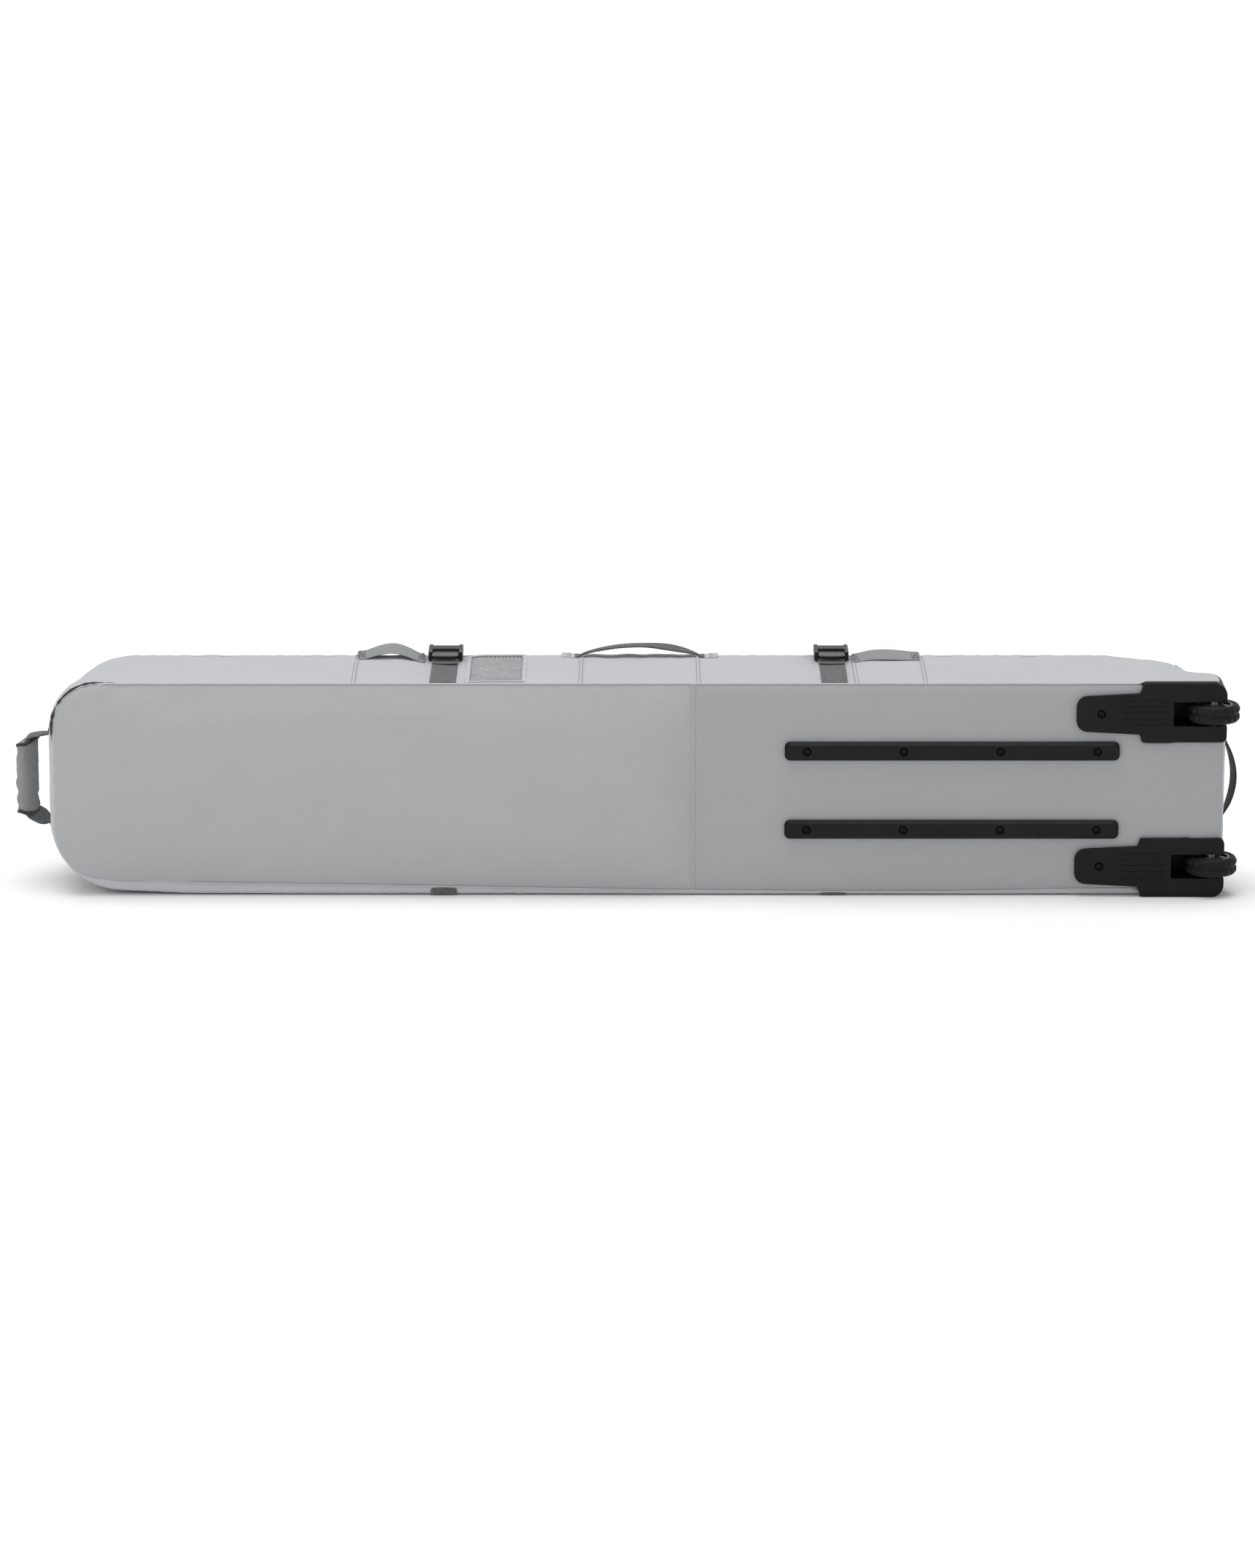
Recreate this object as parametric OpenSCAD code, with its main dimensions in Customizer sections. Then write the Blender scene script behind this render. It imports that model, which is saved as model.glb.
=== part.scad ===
// A wheeled snowboard bag lying on one long side. X runs from the nose (-X) to the wheels (+X),
// the base faces -Y, the lid faces +Y and the bag stands on its lower long side at z = 0.

/* [Bag body] */
// Length of the fabric body
bag_length = 1700; // [1600:10:1800]
// Width across the base
bag_width = 313; // [310:1:330]
// Depth from the base to the lid
bag_depth = 200; // [196:1:210]
// Depth that is left at the wheel end
tail_depth = 135; // [125:1:145]
// Length of the sloping part at the wheel end
taper_length = 160; // [150:5:170]
// Corner radius of the nose end
nose_radius = 100; // [90:1:110]
// Corner radius of the wheel end
tail_radius = 70; // [60:1:80]
// Thickness of the side walls
wall_t = 5; // [4:1:6]
// Where the two base panels meet, from the middle of the bag
base_seam_x = 83; // [70:1:100]

/* [Lid and zip] */
// Width of the fixed border around the lid
border_w = 22; // [20:1:24]
// Slot that both zip halves fill
zip_slot = 3.4; // [3.2:0.1:3.8]
// Where the two sliders meet when the zip is closed
sliders_x = 405; // [380:1:430]

/* [Straps and handles] */
// Width of the compression webbing
strap_w = 38; // [36:1:40]
// Thickness of the webbing
web_t = 2; // [2:0.5:2.5]
// Place of the nose strap
nose_strap_x = -279; // [-285:1:-275]
// Place of the tail strap
tail_strap_x = 287; // [284:1:290]
// How far the nose handle stands out
nose_handle_reach = 52; // [46:1:56]
// How far the tail handle stands out
tail_handle_reach = 19; // [17:1:22]
// How high the carry handle stands
carry_rise = 22; // [20:1:26]

/* [Wheels and skids] */
// Diameter of the wheels
wheel_d = 76; // [70:1:76]
// Width of the wheels
wheel_w = 26; // [22:1:28]
// Length of the skid rails
rail_length = 484; // [460:1:490]
// Width of the skid rails
rail_w = 27; // [24:1:30]
// Thickness of the skid rails
rail_t = 10; // [8:1:12]

/* [Hidden] */
$fn = 48;
x_nose = -bag_length / 2;
x_tail = bag_length / 2;
z_low = web_t;
z_high = z_low + bag_width;
z_mid = (z_low + z_high) / 2;
taper_x = x_tail - taper_length;
skin_t = 4;
panel_t = 3;
board_t = 2;
foam_y = panel_t + board_t + 2;
foam_t = 8;
nose_cut_x = x_nose + nose_radius;
tail_cut_x = x_tail - tail_radius;
far = 1000;
// lid: opening in the back, and the flap that fills it
opening_x = [x_nose + border_w, taper_x - border_w];
opening_z = [z_low + border_w - 4, z_high - border_w];
hinge_z = opening_z[0];
coil_w = 1;
tape_w = 12;
lid_corner = 20;
zip_top_z = opening_z[1] - zip_slot / 2;
// vent in the upper gusset
vent_x = [-246, -160];
vent_y = [8, 190];
// wheel housings, upper one
block_x = [x_tail - 119, x_tail + 3];
block_z = [z_high - 85, z_high + 2];
block_y = [-7, 62];
shell_t = 3;
wheel_x = x_tail - 15;
wheel_y = 12;
wheel_z = z_high - 43.5;
well_x = x_tail - 74;
well_w = 36;
axle_r = 4;
bearing_r = 11;
bearing_w = 7;
run_gap = 0.05;
tongue_x = block_x[0] - 95;
// screws
screw_r = 2.5;
head_r = 5.75;
head_t = 2.6;
// the heads sit below the surface in round pockets
pocket_r = head_r + 0.75;
pocket_depth = head_t + 0.6;
rail_x = 215;
rail_z = 58;
rail_screws_x = [for (i = [0:3]) rail_x + 32 + i * 140];
tongue_screw_x = tongue_x + 36;
// buckles: clip half on the gusset side, socket half on the lid side
buckle_w = 50;
buckle_z = z_high + web_t + 0.6;
buckle_t = 12;
socket_y = [182, 215];
clip_y = 156;
bar_r = 3;
// handles
end_handle_y = 92;
foot_r = 4;
foot_gap = 6;
nose_leg_z = 64;
tail_leg_z = 59;
carry_x = [-79, 91];
carry_y = 178;
tab_y = [150, 192];
// the origin is under the middle of everything, handles and wheels included
nose_end = x_nose - nose_handle_reach;
wheel_end = wheel_x + wheel_d / 2;
front_end = wheel_y - wheel_d / 2;
back_end = socket_y[1] - 1 + web_t;

// ---- helpers ----

// extrude a flat shape drawn in (x, z) along Y
module prism_y(y0, y1) {
    translate([0, y1, 0]) rotate([90, 0, 0]) linear_extrude(y1 - y0) children();
}

// extrude a flat shape drawn in (x, y) along Z
module prism_z(z0, z1) {
    translate([0, 0, z0]) linear_extrude(z1 - z0) children();
}

// extrude a flat shape drawn in (y, z) along X
module prism_x(x0, x1) {
    translate([x0, 0, 0]) rotate([90, 0, 90]) linear_extrude(x1 - x0) children();
}

function arc(x, z, r, from, to, n = 8) =
    [for (i = [0:n]) let (a = from + (to - from) * i / n) [x + r * cos(a), z + r * sin(a)]];

// rectangle with one radius at its nose corners and another at its tail corners
function round_rect(x0, x1, z0, z1, nose_r, tail_r) = concat(
    arc(x1 - tail_r, z1 - tail_r, tail_r, 0, 90), arc(x0 + nose_r, z1 - nose_r, nose_r, 90, 180),
    arc(x0 + nose_r, z0 + nose_r, nose_r, 180, 270), arc(x1 - tail_r, z0 + tail_r, tail_r, 270, 360));

function bag_outline(inset) = round_rect(x_nose + inset, x_tail - inset, z_low + inset,
    z_high - inset, nose_radius - inset, tail_radius - inset);

// outline of the lid opening, made smaller by inset on the three zipped sides
function flap_outline(inset) = round_rect(opening_x[0] + inset, opening_x[1] - inset,
    hinge_z + min(inset, 0.3), opening_z[1] - inset,
    nose_radius - border_w - inset, lid_corner - inset);

// everything below the lid's surface, lowered by gap
module below_lid(gap) {
    prism_z(-far, far) polygon([[x_nose - 1, -far], [x_tail + 1, -far],
        [x_tail + 1, tail_depth - gap], [taper_x, bag_depth - gap], [x_nose - 1, bag_depth - gap]]);
}

// keep what lies between two values of X and two of Z
module keep(x0, x1, z0, z1) {
    intersection() {
        children();
        translate([x0, -far, z0]) cube([x1 - x0, 2 * far, z1 - z0]);
    }
}

// the lower copy of a shape that is drawn at the upper side
module lower() {
    translate([0, 0, 2 * z_mid]) mirror([0, 0, 1]) children();
}

module both() {
    children();
    lower() children();
}

// moves the bag from its own middle to the origin
module placed() {
    translate([-(nose_end + wheel_end) / 2, -(front_end + back_end) / 2, 0]) children();
}

// a round bar along Y at a point in (x, z)
module pin_y(x, z, r, y0, y1) {
    prism_y(y0, y1) translate([x, z]) circle(r);
}

module housing_space() {
    both() translate([block_x[0], block_y[0], block_z[0]])
        cube([block_x[1] - block_x[0], block_y[1] - block_y[0], block_z[1] - block_z[0]]);
}

module screw_holes(r, y0, y1) {
    both() {
        for (x = rail_screws_x) pin_y(x, z_mid + rail_z, r, y0, y1);
        pin_y(tongue_screw_x, wheel_z, r, y0, y1);
    }
}

// ---- fabric body ----

module base_skin() {
    difference() {
        prism_y(0, panel_t) polygon(bag_outline(0));
        housing_space();
        screw_holes(screw_r + run_gap, -1, panel_t + 1);
    }
}

module base_nose_panel() {
    color([0.66, 0.67, 0.68]) keep(-far, base_seam_x, -far, far) base_skin();
}

module base_tail_panel() {
    color([0.58, 0.59, 0.60]) keep(base_seam_x, far, -far, far) base_skin();
}

module base_board() {
    color([0.2, 0.2, 0.2]) difference() {
        keep(base_seam_x + 5, block_x[0] - 5, -far, far)
            prism_y(panel_t, panel_t + board_t) polygon(bag_outline(2 * wall_t));
        screw_holes(screw_r + run_gap, 0, foam_y);
    }
}

module base_foam() {
    color([0.85, 0.85, 0.82]) difference() {
        union() {
            prism_y(foam_y, foam_y + foam_t) polygon(bag_outline(wall_t));
            keep(-far, base_seam_x + 5, -far, far)
                prism_y(panel_t, foam_y) polygon(bag_outline(wall_t));
        }
        housing_space();
    }
}

module base_piping() {
    proud = 1.5;
    color([0.75, 0.76, 0.77]) difference() {
        prism_y(0.5, 3.5) polygon(bag_outline(-proud));
        prism_y(0, 4) polygon(bag_outline(0));
        housing_space();
    }
}

module wall_ring() {
    difference() {
        intersection() {
            difference() {
                prism_y(panel_t, bag_depth) polygon(bag_outline(0));
                prism_y(0, bag_depth + 1) polygon(bag_outline(wall_t));
            }
            below_lid(skin_t);
        }
        housing_space();
    }
}

module vent_window() {
    translate([vent_x[0], vent_y[0], z_mid])
        cube([vent_x[1] - vent_x[0], vent_y[1] - vent_y[0], bag_width]);
}

module upper_gusset() {
    color([0.78, 0.79, 0.80]) difference() {
        keep(nose_cut_x, tail_cut_x, z_mid, far) wall_ring();
        vent_window();
    }
}

module lower_gusset() {
    color([0.78, 0.79, 0.80]) keep(nose_cut_x, tail_cut_x, -far, z_mid) wall_ring();
}

module nose_gusset() {
    color([0.78, 0.79, 0.80]) keep(-far, nose_cut_x, -far, far) wall_ring();
}

module tail_panel() {
    color([0.74, 0.75, 0.76]) keep(tail_cut_x, far, -far, far) wall_ring();
}

module mesh_vent() {
    color([0.55, 0.56, 0.58]) intersection() {
        vent_window();
        prism_y(0, bag_depth) polygon(bag_outline(1));
        translate([-far, 0, z_high - 3]) cube([2 * far, bag_depth, 3]);
    }
}

// fixed border around the flap
module lid_frame() {
    color([0.78, 0.79, 0.80]) difference() {
        keep(-far, taper_x, -far, far)
            prism_y(bag_depth - skin_t, bag_depth) polygon(bag_outline(0));
        prism_y(bag_depth - skin_t - 1, bag_depth + 1) polygon(flap_outline(0));
    }
}

// fixed sloping panel over the wheels
module tail_deck() {
    color([0.78, 0.79, 0.80]) keep(taper_x, far, -far, far) difference() {
        intersection() {
            prism_y(panel_t, bag_depth) polygon(bag_outline(0));
            below_lid(0);
        }
        below_lid(skin_t);
    }
}

// ---- lid and zip ----

// a strip between two insets of the flap's outline, on its zipped sides only
module zip_strip(outer, inner, y0, y1) {
    keep(-far, far, hinge_z + lid_corner, far) difference() {
        prism_y(y0, y1) polygon(flap_outline(outer));
        prism_y(y0 - 1, y1 + 1) polygon(flap_outline(inner));
    }
}

module frame_zip_half() {
    inner_y = bag_depth - skin_t;
    color([0.1, 0.1, 0.1]) {
        zip_strip(-tape_w, 0, inner_y - 1, inner_y);
        zip_strip(0, coil_w, inner_y - 1, bag_depth + 0.4);
    }
}

module lid_zip_half() {
    inner_y = bag_depth - skin_t;
    color([0.1, 0.1, 0.1]) {
        zip_strip(zip_slot, zip_slot + tape_w, inner_y - 1, inner_y);
        zip_strip(zip_slot - coil_w, zip_slot, inner_y - 1, bag_depth + 0.4);
    }
}

module lid_panel() {
    color([0.78, 0.79, 0.80])
        prism_y(bag_depth - skin_t, bag_depth) polygon(flap_outline(zip_slot));
}

module lid_foam() {
    inset = zip_slot + tape_w + 2;
    color([0.85, 0.85, 0.82]) keep(-far, far, hinge_z + inset, far)
        prism_y(bag_depth - skin_t - foam_t, bag_depth - skin_t) polygon(flap_outline(inset));
}

slider_l = 22;
slider_w = 11;
slider_y = bag_depth + 0.8;
plate_t = 2;
pull_pin_y = slider_y + plate_t + 3;
pull_pin_r = 1.3;
slider_half_gap = 22;

// slider body: outer plate, blade in the zip slot, inner plate under the lid's own tape
module slider(x) {
    blade_t = 0.8;
    inner_y = bag_depth - skin_t - 1.4 - plate_t;
    color([0.1, 0.1, 0.1]) {
        prism_y(slider_y, slider_y + plate_t) polygon(round_rect(x - slider_l / 2, x + slider_l / 2,
            zip_top_z - slider_w / 2, zip_top_z + slider_w / 2, 3, 3));
        translate([x - 4, inner_y, zip_top_z - blade_t / 2]) cube([8, slider_y - inner_y, blade_t]);
        translate([x - 8, inner_y, zip_top_z - slider_w / 2])
            cube([16, plate_t, slider_w / 2 + blade_t / 2]);
        for (side = [-1, 1]) prism_z(zip_top_z + side * 4.6 - 0.9, zip_top_z + side * 4.6 + 0.9)
            polygon([[x - 4, slider_y + plate_t], [x + 4, slider_y + plate_t],
                [x + 2.4, pull_pin_y + 2.4], [x - 2.4, pull_pin_y + 2.4]]);
        translate([x, pull_pin_y, zip_top_z - 4]) cylinder(h = 8, r = pull_pin_r);
    }
}

// pull tab that turns on the slider's pin; side is the way it lies
module pull(x, side) {
    barrel_r = 2.5;
    tab_l = 36;
    tab_t = 2.2;
    tab_outline = concat([[1, -3.5], [12, -3.5]], arc(tab_l - 5, 0, 5, -90, 90), [[12, 3.5], [1, 3.5]]);
    color([0.12, 0.12, 0.12]) difference() {
        union() {
            translate([x, pull_pin_y, zip_top_z - 3.5]) cylinder(h = 7, r = barrel_r);
            prism_y(pull_pin_y - tab_t / 2, pull_pin_y + tab_t / 2)
                translate([x, zip_top_z]) mirror([side < 0 ? 1 : 0, 0]) polygon(tab_outline);
        }
        translate([x, pull_pin_y, zip_top_z - 5]) cylinder(h = 10, r = pull_pin_r + run_gap);
    }
}

module zip_slider_a() { slider(sliders_x - slider_half_gap); }
module zip_slider_b() { slider(sliders_x + slider_half_gap); }
module zip_pull_a() { pull(sliders_x - slider_half_gap, -1); }
module zip_pull_b() { pull(sliders_x + slider_half_gap, 1); }

// ---- compression straps and buckles ----

module strap_upper(x) {
    color([0.42, 0.43, 0.44]) translate([x - strap_w / 2, 5, z_high])
        cube([strap_w, clip_y + 16 - 5, web_t]);
}

// along the lower gusset and round the edge up to the lid's hinge
module strap_lower(x) {
    out = bag_depth + web_t;
    color([0.42, 0.43, 0.44]) prism_x(x - strap_w / 2, x + strap_w / 2) polygon([[5, 0], [out, 0],
        [out, hinge_z - 3], [bag_depth, hinge_z - 3], [bag_depth, z_low], [5, z_low]]);
}

// on the lid, then up over the zip to the socket's bar
module strap_lid(x) {
    lift_z = z_low + 178;
    top = [socket_y[1] - 1, buckle_z + 2.5];
    color([0.42, 0.43, 0.44]) prism_x(x - strap_w / 2, x + strap_w / 2) polygon([
        [bag_depth, hinge_z + 4], [bag_depth + web_t, hinge_z + 4], [bag_depth + web_t, lift_z],
        top + [web_t, 0], top + [web_t, 7], top + [-1, 7], top + [0, 0], [bag_depth, lift_z]]);
}

// hollow half that the prongs enter; the strap is held in the slot at its back
module buckle_socket(x) {
    cavity_y = socket_y[1] - 11;
    color([0.1, 0.1, 0.1]) difference() {
        prism_z(buckle_z, buckle_z + buckle_t) polygon(round_rect(x - buckle_w / 2,
            x + buckle_w / 2, socket_y[0], socket_y[1], 4, 4));
        translate([x - buckle_w / 2 + 2.5, socket_y[0] - 1, buckle_z + 2])
            cube([buckle_w - 5, cavity_y - socket_y[0] + 1, buckle_t - 4]);
        translate([x - buckle_w / 2 - 1, socket_y[0] + 6, buckle_z + 2.6])
            cube([buckle_w + 2, 12, buckle_t - 5.2]);
        translate([x - strap_w / 2 - 0.3, socket_y[1] - 8, buckle_z - 1])
            cube([strap_w + 0.6, 9, buckle_t + 2]);
    }
    color([0.1, 0.1, 0.1]) translate([x - strap_w / 2 - 1, socket_y[1] - 4.6, buckle_z + 6])
        rotate([0, 90, 0]) cylinder(h = strap_w + 2, r = 2.4);
}

// ladder-lock frame with a bar for the webbing and three prongs
module buckle_clip(x) {
    rail = (buckle_w - strap_w) / 2 - 0.5;
    bar_z = buckle_z + 6;
    prong_z = [buckle_z + 4, buckle_z + 8];
    color([0.1, 0.1, 0.1]) {
        for (side = [-1, 1]) translate([x + side * (buckle_w / 2 - rail / 2) - rail / 2, clip_y, buckle_z])
            cube([rail, socket_y[0] - 0.5 - clip_y, buckle_t]);
        translate([x - buckle_w / 2 + 2, clip_y + 5, bar_z]) rotate([0, 90, 0])
            cylinder(h = buckle_w - 4, r = bar_r);
        translate([x - buckle_w / 2 + 1, socket_y[0] - 8, buckle_z + 2])
            cube([buckle_w - 2, 7.5, buckle_t - 4]);
        prism_z(prong_z[0], prong_z[1]) {
            for (side = [0, 1]) translate([x, 0]) mirror([side, 0]) polygon([[14, socket_y[0] - 2],
                [18, socket_y[0] - 2], [22, socket_y[0] + 12], [20, socket_y[0] + 20],
                [17, socket_y[0] + 20], [17.5, socket_y[0] + 12]]);
            translate([x - 3, socket_y[0] - 2]) square([6, 21]);
        }
    }
}

// webbing round the ladder-lock's bar with its free end on top
module strap_end(x) {
    bar = [clip_y + 5, buckle_z + 6];
    inner_r = bar_r + 0.4;
    outer_r = inner_r + web_t;
    color([0.42, 0.43, 0.44]) prism_x(x - strap_w / 2, x + strap_w / 2) polygon(concat(
        [[clip_y - 34, bar[1] - outer_r]], arc(bar[0], bar[1], outer_r, -90, 90),
        [[clip_y - 20, bar[1] + outer_r], [clip_y - 20, bar[1] + inner_r]],
        arc(bar[0], bar[1], inner_r, 90, -90), [[clip_y - 34, bar[1] - inner_r]]));
}

module nose_strap_upper() { strap_upper(nose_strap_x); }
module tail_strap_upper() { strap_upper(tail_strap_x); }
module nose_strap_lower() { strap_lower(nose_strap_x); }
module tail_strap_lower() { strap_lower(tail_strap_x); }
module nose_strap_lid() { strap_lid(nose_strap_x); }
module tail_strap_lid() { strap_lid(tail_strap_x); }
module nose_buckle_socket() { buckle_socket(nose_strap_x); }
module tail_buckle_socket() { buckle_socket(tail_strap_x); }
module nose_buckle_clip() { buckle_clip(nose_strap_x); }
module tail_buckle_clip() { buckle_clip(tail_strap_x); }
module nose_strap_end() { strap_end(nose_strap_x); }
module tail_strap_end() { strap_end(tail_strap_x); }

// ---- handles ----

// flat band that rises from one foot to the other and back, drawn in two coordinates
function bow(from, to, base, rise, t, n = 16) = concat(
    [for (i = [0:n]) [from + (to - from) * i / n, base + rise * sin(180 * i / n)]],
    [for (i = [n:-1:0]) [from + (to - from) * i / n, base + t + rise * sin(180 * i / n)]]);

foot_l = 8;
foot_z = z_high + foot_gap;

// arch with a rolled foot at each end, which turns on the line through both feet
module carry_handle() {
    color([0.3, 0.31, 0.32]) {
        prism_y(carry_y - foot_r, carry_y + foot_r)
            polygon(bow(carry_x[0] + 2, carry_x[1] - 2, foot_z - web_t, carry_rise - foot_gap, 2 * web_t));
        for (x = [carry_x[0], carry_x[1] - foot_l])
            translate([x, carry_y, foot_z]) rotate([0, 90, 0]) cylinder(h = foot_l, r = foot_r);
    }
}

module carry_handle_anchors() {
    color([0.3, 0.31, 0.32]) for (side = [0, 1]) {
        x = side == 0 ? carry_x[0] - foot_l - 0.4 : carry_x[1] + 0.4;
        translate([x, carry_y, foot_z]) rotate([0, 90, 0]) cylinder(h = foot_l, r = foot_r);
        translate([x, carry_y - foot_r, z_high + 1]) cube([foot_l, 2 * foot_r, foot_gap - 1]);
        translate([side == 0 ? x - 22 : x, carry_y - 12.5, z_high]) cube([30, 25, 1.6]);
    }
}

module carry_handle_patch() {
    color([0.62, 0.63, 0.64]) translate([carry_x[0] + 2, carry_y - 16, z_high])
        cube([carry_x[1] - carry_x[0] - 4, 34, 1]);
}

// sewn-down tab handle: flat ends and a bowed middle
module tab_handle(x0, x1, rise) {
    flat = 14;
    color([0.62, 0.63, 0.64]) prism_y(tab_y[0], tab_y[1]) {
        polygon(bow(x0 + flat, x1 - flat, z_high, rise, web_t));
        translate([x0, z_high]) square([flat, web_t]);
        translate([x1 - flat, z_high]) square([flat, web_t]);
    }
}

module nose_tab_handle() { tab_handle(nose_strap_x - 130, nose_strap_x - 29, 9); }
module tail_tab_handle() { tab_handle(tail_strap_x + 29, tail_strap_x + 130, 2.5); }

// two legs that start narrow at their rolled feet and widen to the grip
module nose_handle() {
    foot_x = x_nose - foot_gap;
    reach = nose_handle_reach - foot_gap;
    color([0.3, 0.31, 0.32]) {
        intersection() {
            prism_y(end_handle_y - 15, end_handle_y + 15) difference() {
                polygon(round_rect(foot_x - reach + 4, foot_x + 20, z_mid - nose_leg_z - web_t,
                    z_mid + nose_leg_z + web_t, 8, 4));
                polygon(round_rect(foot_x - reach + 4 + 2 * web_t, foot_x + 30,
                    z_mid - nose_leg_z + web_t, z_mid + nose_leg_z - web_t, 5, 4));
            }
            prism_z(-far, far) translate([foot_x, end_handle_y])
                polygon([[1, -3], [1, 3], [-28, 15], [-60, 15], [-60, -15], [-28, -15]]);
        }
        for (side = [-1, 1])
            translate([foot_x, end_handle_y, z_mid + side * nose_leg_z - foot_l / 2])
                cylinder(h = foot_l, r = foot_r);
    }
}

// padded sleeve round the grip
module nose_handle_wrap() {
    outer_x = x_nose - nose_handle_reach;
    half = 56;
    grip_r = 11;
    color([0.6, 0.61, 0.62]) difference() {
        translate([outer_x + grip_r, end_handle_y, z_mid - half]) {
            translate([0, -9, 0]) cylinder(h = 2 * half, r = grip_r);
            translate([0, 9, 0]) cylinder(h = 2 * half, r = grip_r);
            translate([-grip_r, -9, 0]) cube([2 * grip_r, 18, 2 * half]);
        }
        prism_y(end_handle_y - 15.3, end_handle_y + 15.3) translate([outer_x + 3.7, z_mid - far])
            square([2 * web_t + 0.6, 2 * far]);
    }
}

module nose_handle_anchors() {
    color([0.3, 0.31, 0.32]) for (side = [-1, 1]) {
        z = z_mid + side * (nose_leg_z + foot_l + 0.4) - foot_l / 2;
        translate([x_nose - foot_gap, end_handle_y, z]) cylinder(h = foot_l, r = foot_r);
        difference() {
            translate([x_nose - foot_gap, end_handle_y - foot_r, z])
                cube([foot_gap + 12, 2 * foot_r, foot_l]);
            prism_y(0, bag_depth) polygon(bag_outline(0));
        }
    }
}

module tail_handle() {
    foot_x = x_tail + foot_gap;
    reach = tail_handle_reach - foot_gap;
    color([0.25, 0.25, 0.26]) {
        intersection() {
            prism_y(end_handle_y - 12, end_handle_y + 12) mirror([1, -1]) polygon(bow(
                z_mid - tail_leg_z - foot_l / 2, z_mid + tail_leg_z + foot_l / 2, foot_x - web_t,
                reach - web_t, 2 * web_t));
            prism_z(-far, far) translate([foot_x, end_handle_y])
                polygon([[-3, -3], [-3, 3], [7, 12], [40, 12], [40, -12], [7, -12]]);
        }
        for (side = [-1, 1])
            translate([foot_x, end_handle_y, z_mid + side * tail_leg_z - foot_l / 2])
                cylinder(h = foot_l, r = foot_r);
    }
}

module tail_handle_anchors() {
    color([0.25, 0.25, 0.26]) for (side = [-1, 1]) {
        z = z_mid + side * (tail_leg_z + foot_l + 0.4) - foot_l / 2;
        translate([x_tail + foot_gap, end_handle_y, z]) cylinder(h = foot_l, r = foot_r);
        translate([x_tail, end_handle_y - foot_r, z]) cube([foot_gap, 2 * foot_r, foot_l]);
    }
}

// ---- wheels and skids ----

// outline of the housing's front: tapered tongue and block with a round outer corner
module housing_front() {
    corner = 18;
    neck = 30;
    polygon(concat([[block_x[0], block_z[0]], [block_x[0] - 4, wheel_z - neck]],
        arc(tongue_x + 16, wheel_z - 10, 16, 270, 180), arc(tongue_x + 16, wheel_z + 10, 16, 180, 90),
        [[block_x[0] - 4, wheel_z + neck], [block_x[0], block_z[1] - 6]],
        arc(block_x[0] + 6, block_z[1] - 6, 6, 180, 90, 4),
        arc(block_x[1] - corner, block_z[1] - corner, corner, 90, 0),
        arc(block_x[1] - 8, block_z[0] + 8, 8, 0, -90, 4)));
}

module housing() {
    ribs_x = [block_x[0] - 30, well_x - 8];
    well_z = [wheel_z - well_w / 2, wheel_z + well_w / 2];
    color([0.11, 0.11, 0.12]) difference() {
        union() {
            prism_y(block_y[0], 0) housing_front();
            keep(block_x[0], far, -far, far) prism_y(block_y[0], block_y[1]) housing_front();
            for (i = [-2:2]) translate([ribs_x[0], block_y[0] - 1.2, wheel_z + i * 9 - 1.5])
                cube([ribs_x[1] - ribs_x[0], 1.4, 3]);
        }
        // wheel well, open to the front and to the end
        translate([well_x, block_y[0] - 5, well_z[0]])
            cube([far, block_y[1] - shell_t - block_y[0] + 5, well_w]);
        // hollow moulding on both sides of the well and in front of it
        for (z = [[block_z[0] + shell_t, well_z[0] - shell_t], [well_z[1] + shell_t, block_z[1] - 16]])
            difference() {
                translate([block_x[0] + shell_t, block_y[0] + shell_t, z[0]])
                    cube([block_x[1] - block_x[0] - 16, far, z[1] - z[0]]);
                translate([wheel_x, wheel_y, z[0] - 1]) cylinder(h = z[1] - z[0] + 2, r = 9);
            }
        translate([block_x[0] + shell_t, block_y[0] + shell_t, well_z[0] - shell_t - 1])
            cube([well_x - block_x[0] - 2 * shell_t, far, well_w + 2 * shell_t + 2]);
        translate([wheel_x, wheel_y, wheel_z - 31]) cylinder(h = 62, r = axle_r + run_gap);
        pin_y(tongue_screw_x, wheel_z, screw_r + run_gap, block_y[0] - 1, 1);
        pin_y(tongue_screw_x, wheel_z, pocket_r, block_y[0] - 1, block_y[0] + pocket_depth);
    }
}

module axle() {
    color([0.7, 0.7, 0.72]) translate([wheel_x, wheel_y, wheel_z - 30]) cylinder(h = 60, r = axle_r);
}

module at_wheel() { translate([wheel_x, wheel_y, wheel_z]) children(); }

module tube(outer, inner, z0, z1) {
    rotate_extrude() translate([inner, z0]) square([outer - inner, z1 - z0]);
}

module axle_sleeves() {
    bearing_end = wheel_w / 2 - 1;
    color([0.6, 0.6, 0.62]) at_wheel() {
        for (side = [0, 1]) mirror([0, 0, side])
            tube(6, axle_r + run_gap, bearing_end + 0.2, well_w / 2);
        tube(6, axle_r + run_gap, bearing_w - bearing_end + 0.2, bearing_end - bearing_w - 0.2);
    }
}

module bearings() {
    bearing_end = wheel_w / 2 - 1;
    color([0.6, 0.6, 0.62]) at_wheel() for (side = [0, 1]) mirror([0, 0, side])
        tube(bearing_r - run_gap, axle_r + run_gap, bearing_end - bearing_w, bearing_end);
}

module wheel_hub() {
    half = wheel_w / 2 - 1;
    rim_r = wheel_d / 2 - 10;
    seat = half - bearing_w;
    color([0.3, 0.3, 0.32]) at_wheel() rotate_extrude() polygon([[bearing_r, -half], [14, -half],
        [16, 3 - half], [rim_r - 4, 3 - half], [rim_r - 2, -half], [rim_r, -half], [rim_r, half],
        [rim_r - 2, half], [rim_r - 4, half - 3], [16, half - 3], [14, half], [bearing_r, half],
        [bearing_r, seat], [bearing_r - 2, seat], [bearing_r - 2, -seat], [bearing_r, -seat]]);
}

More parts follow.
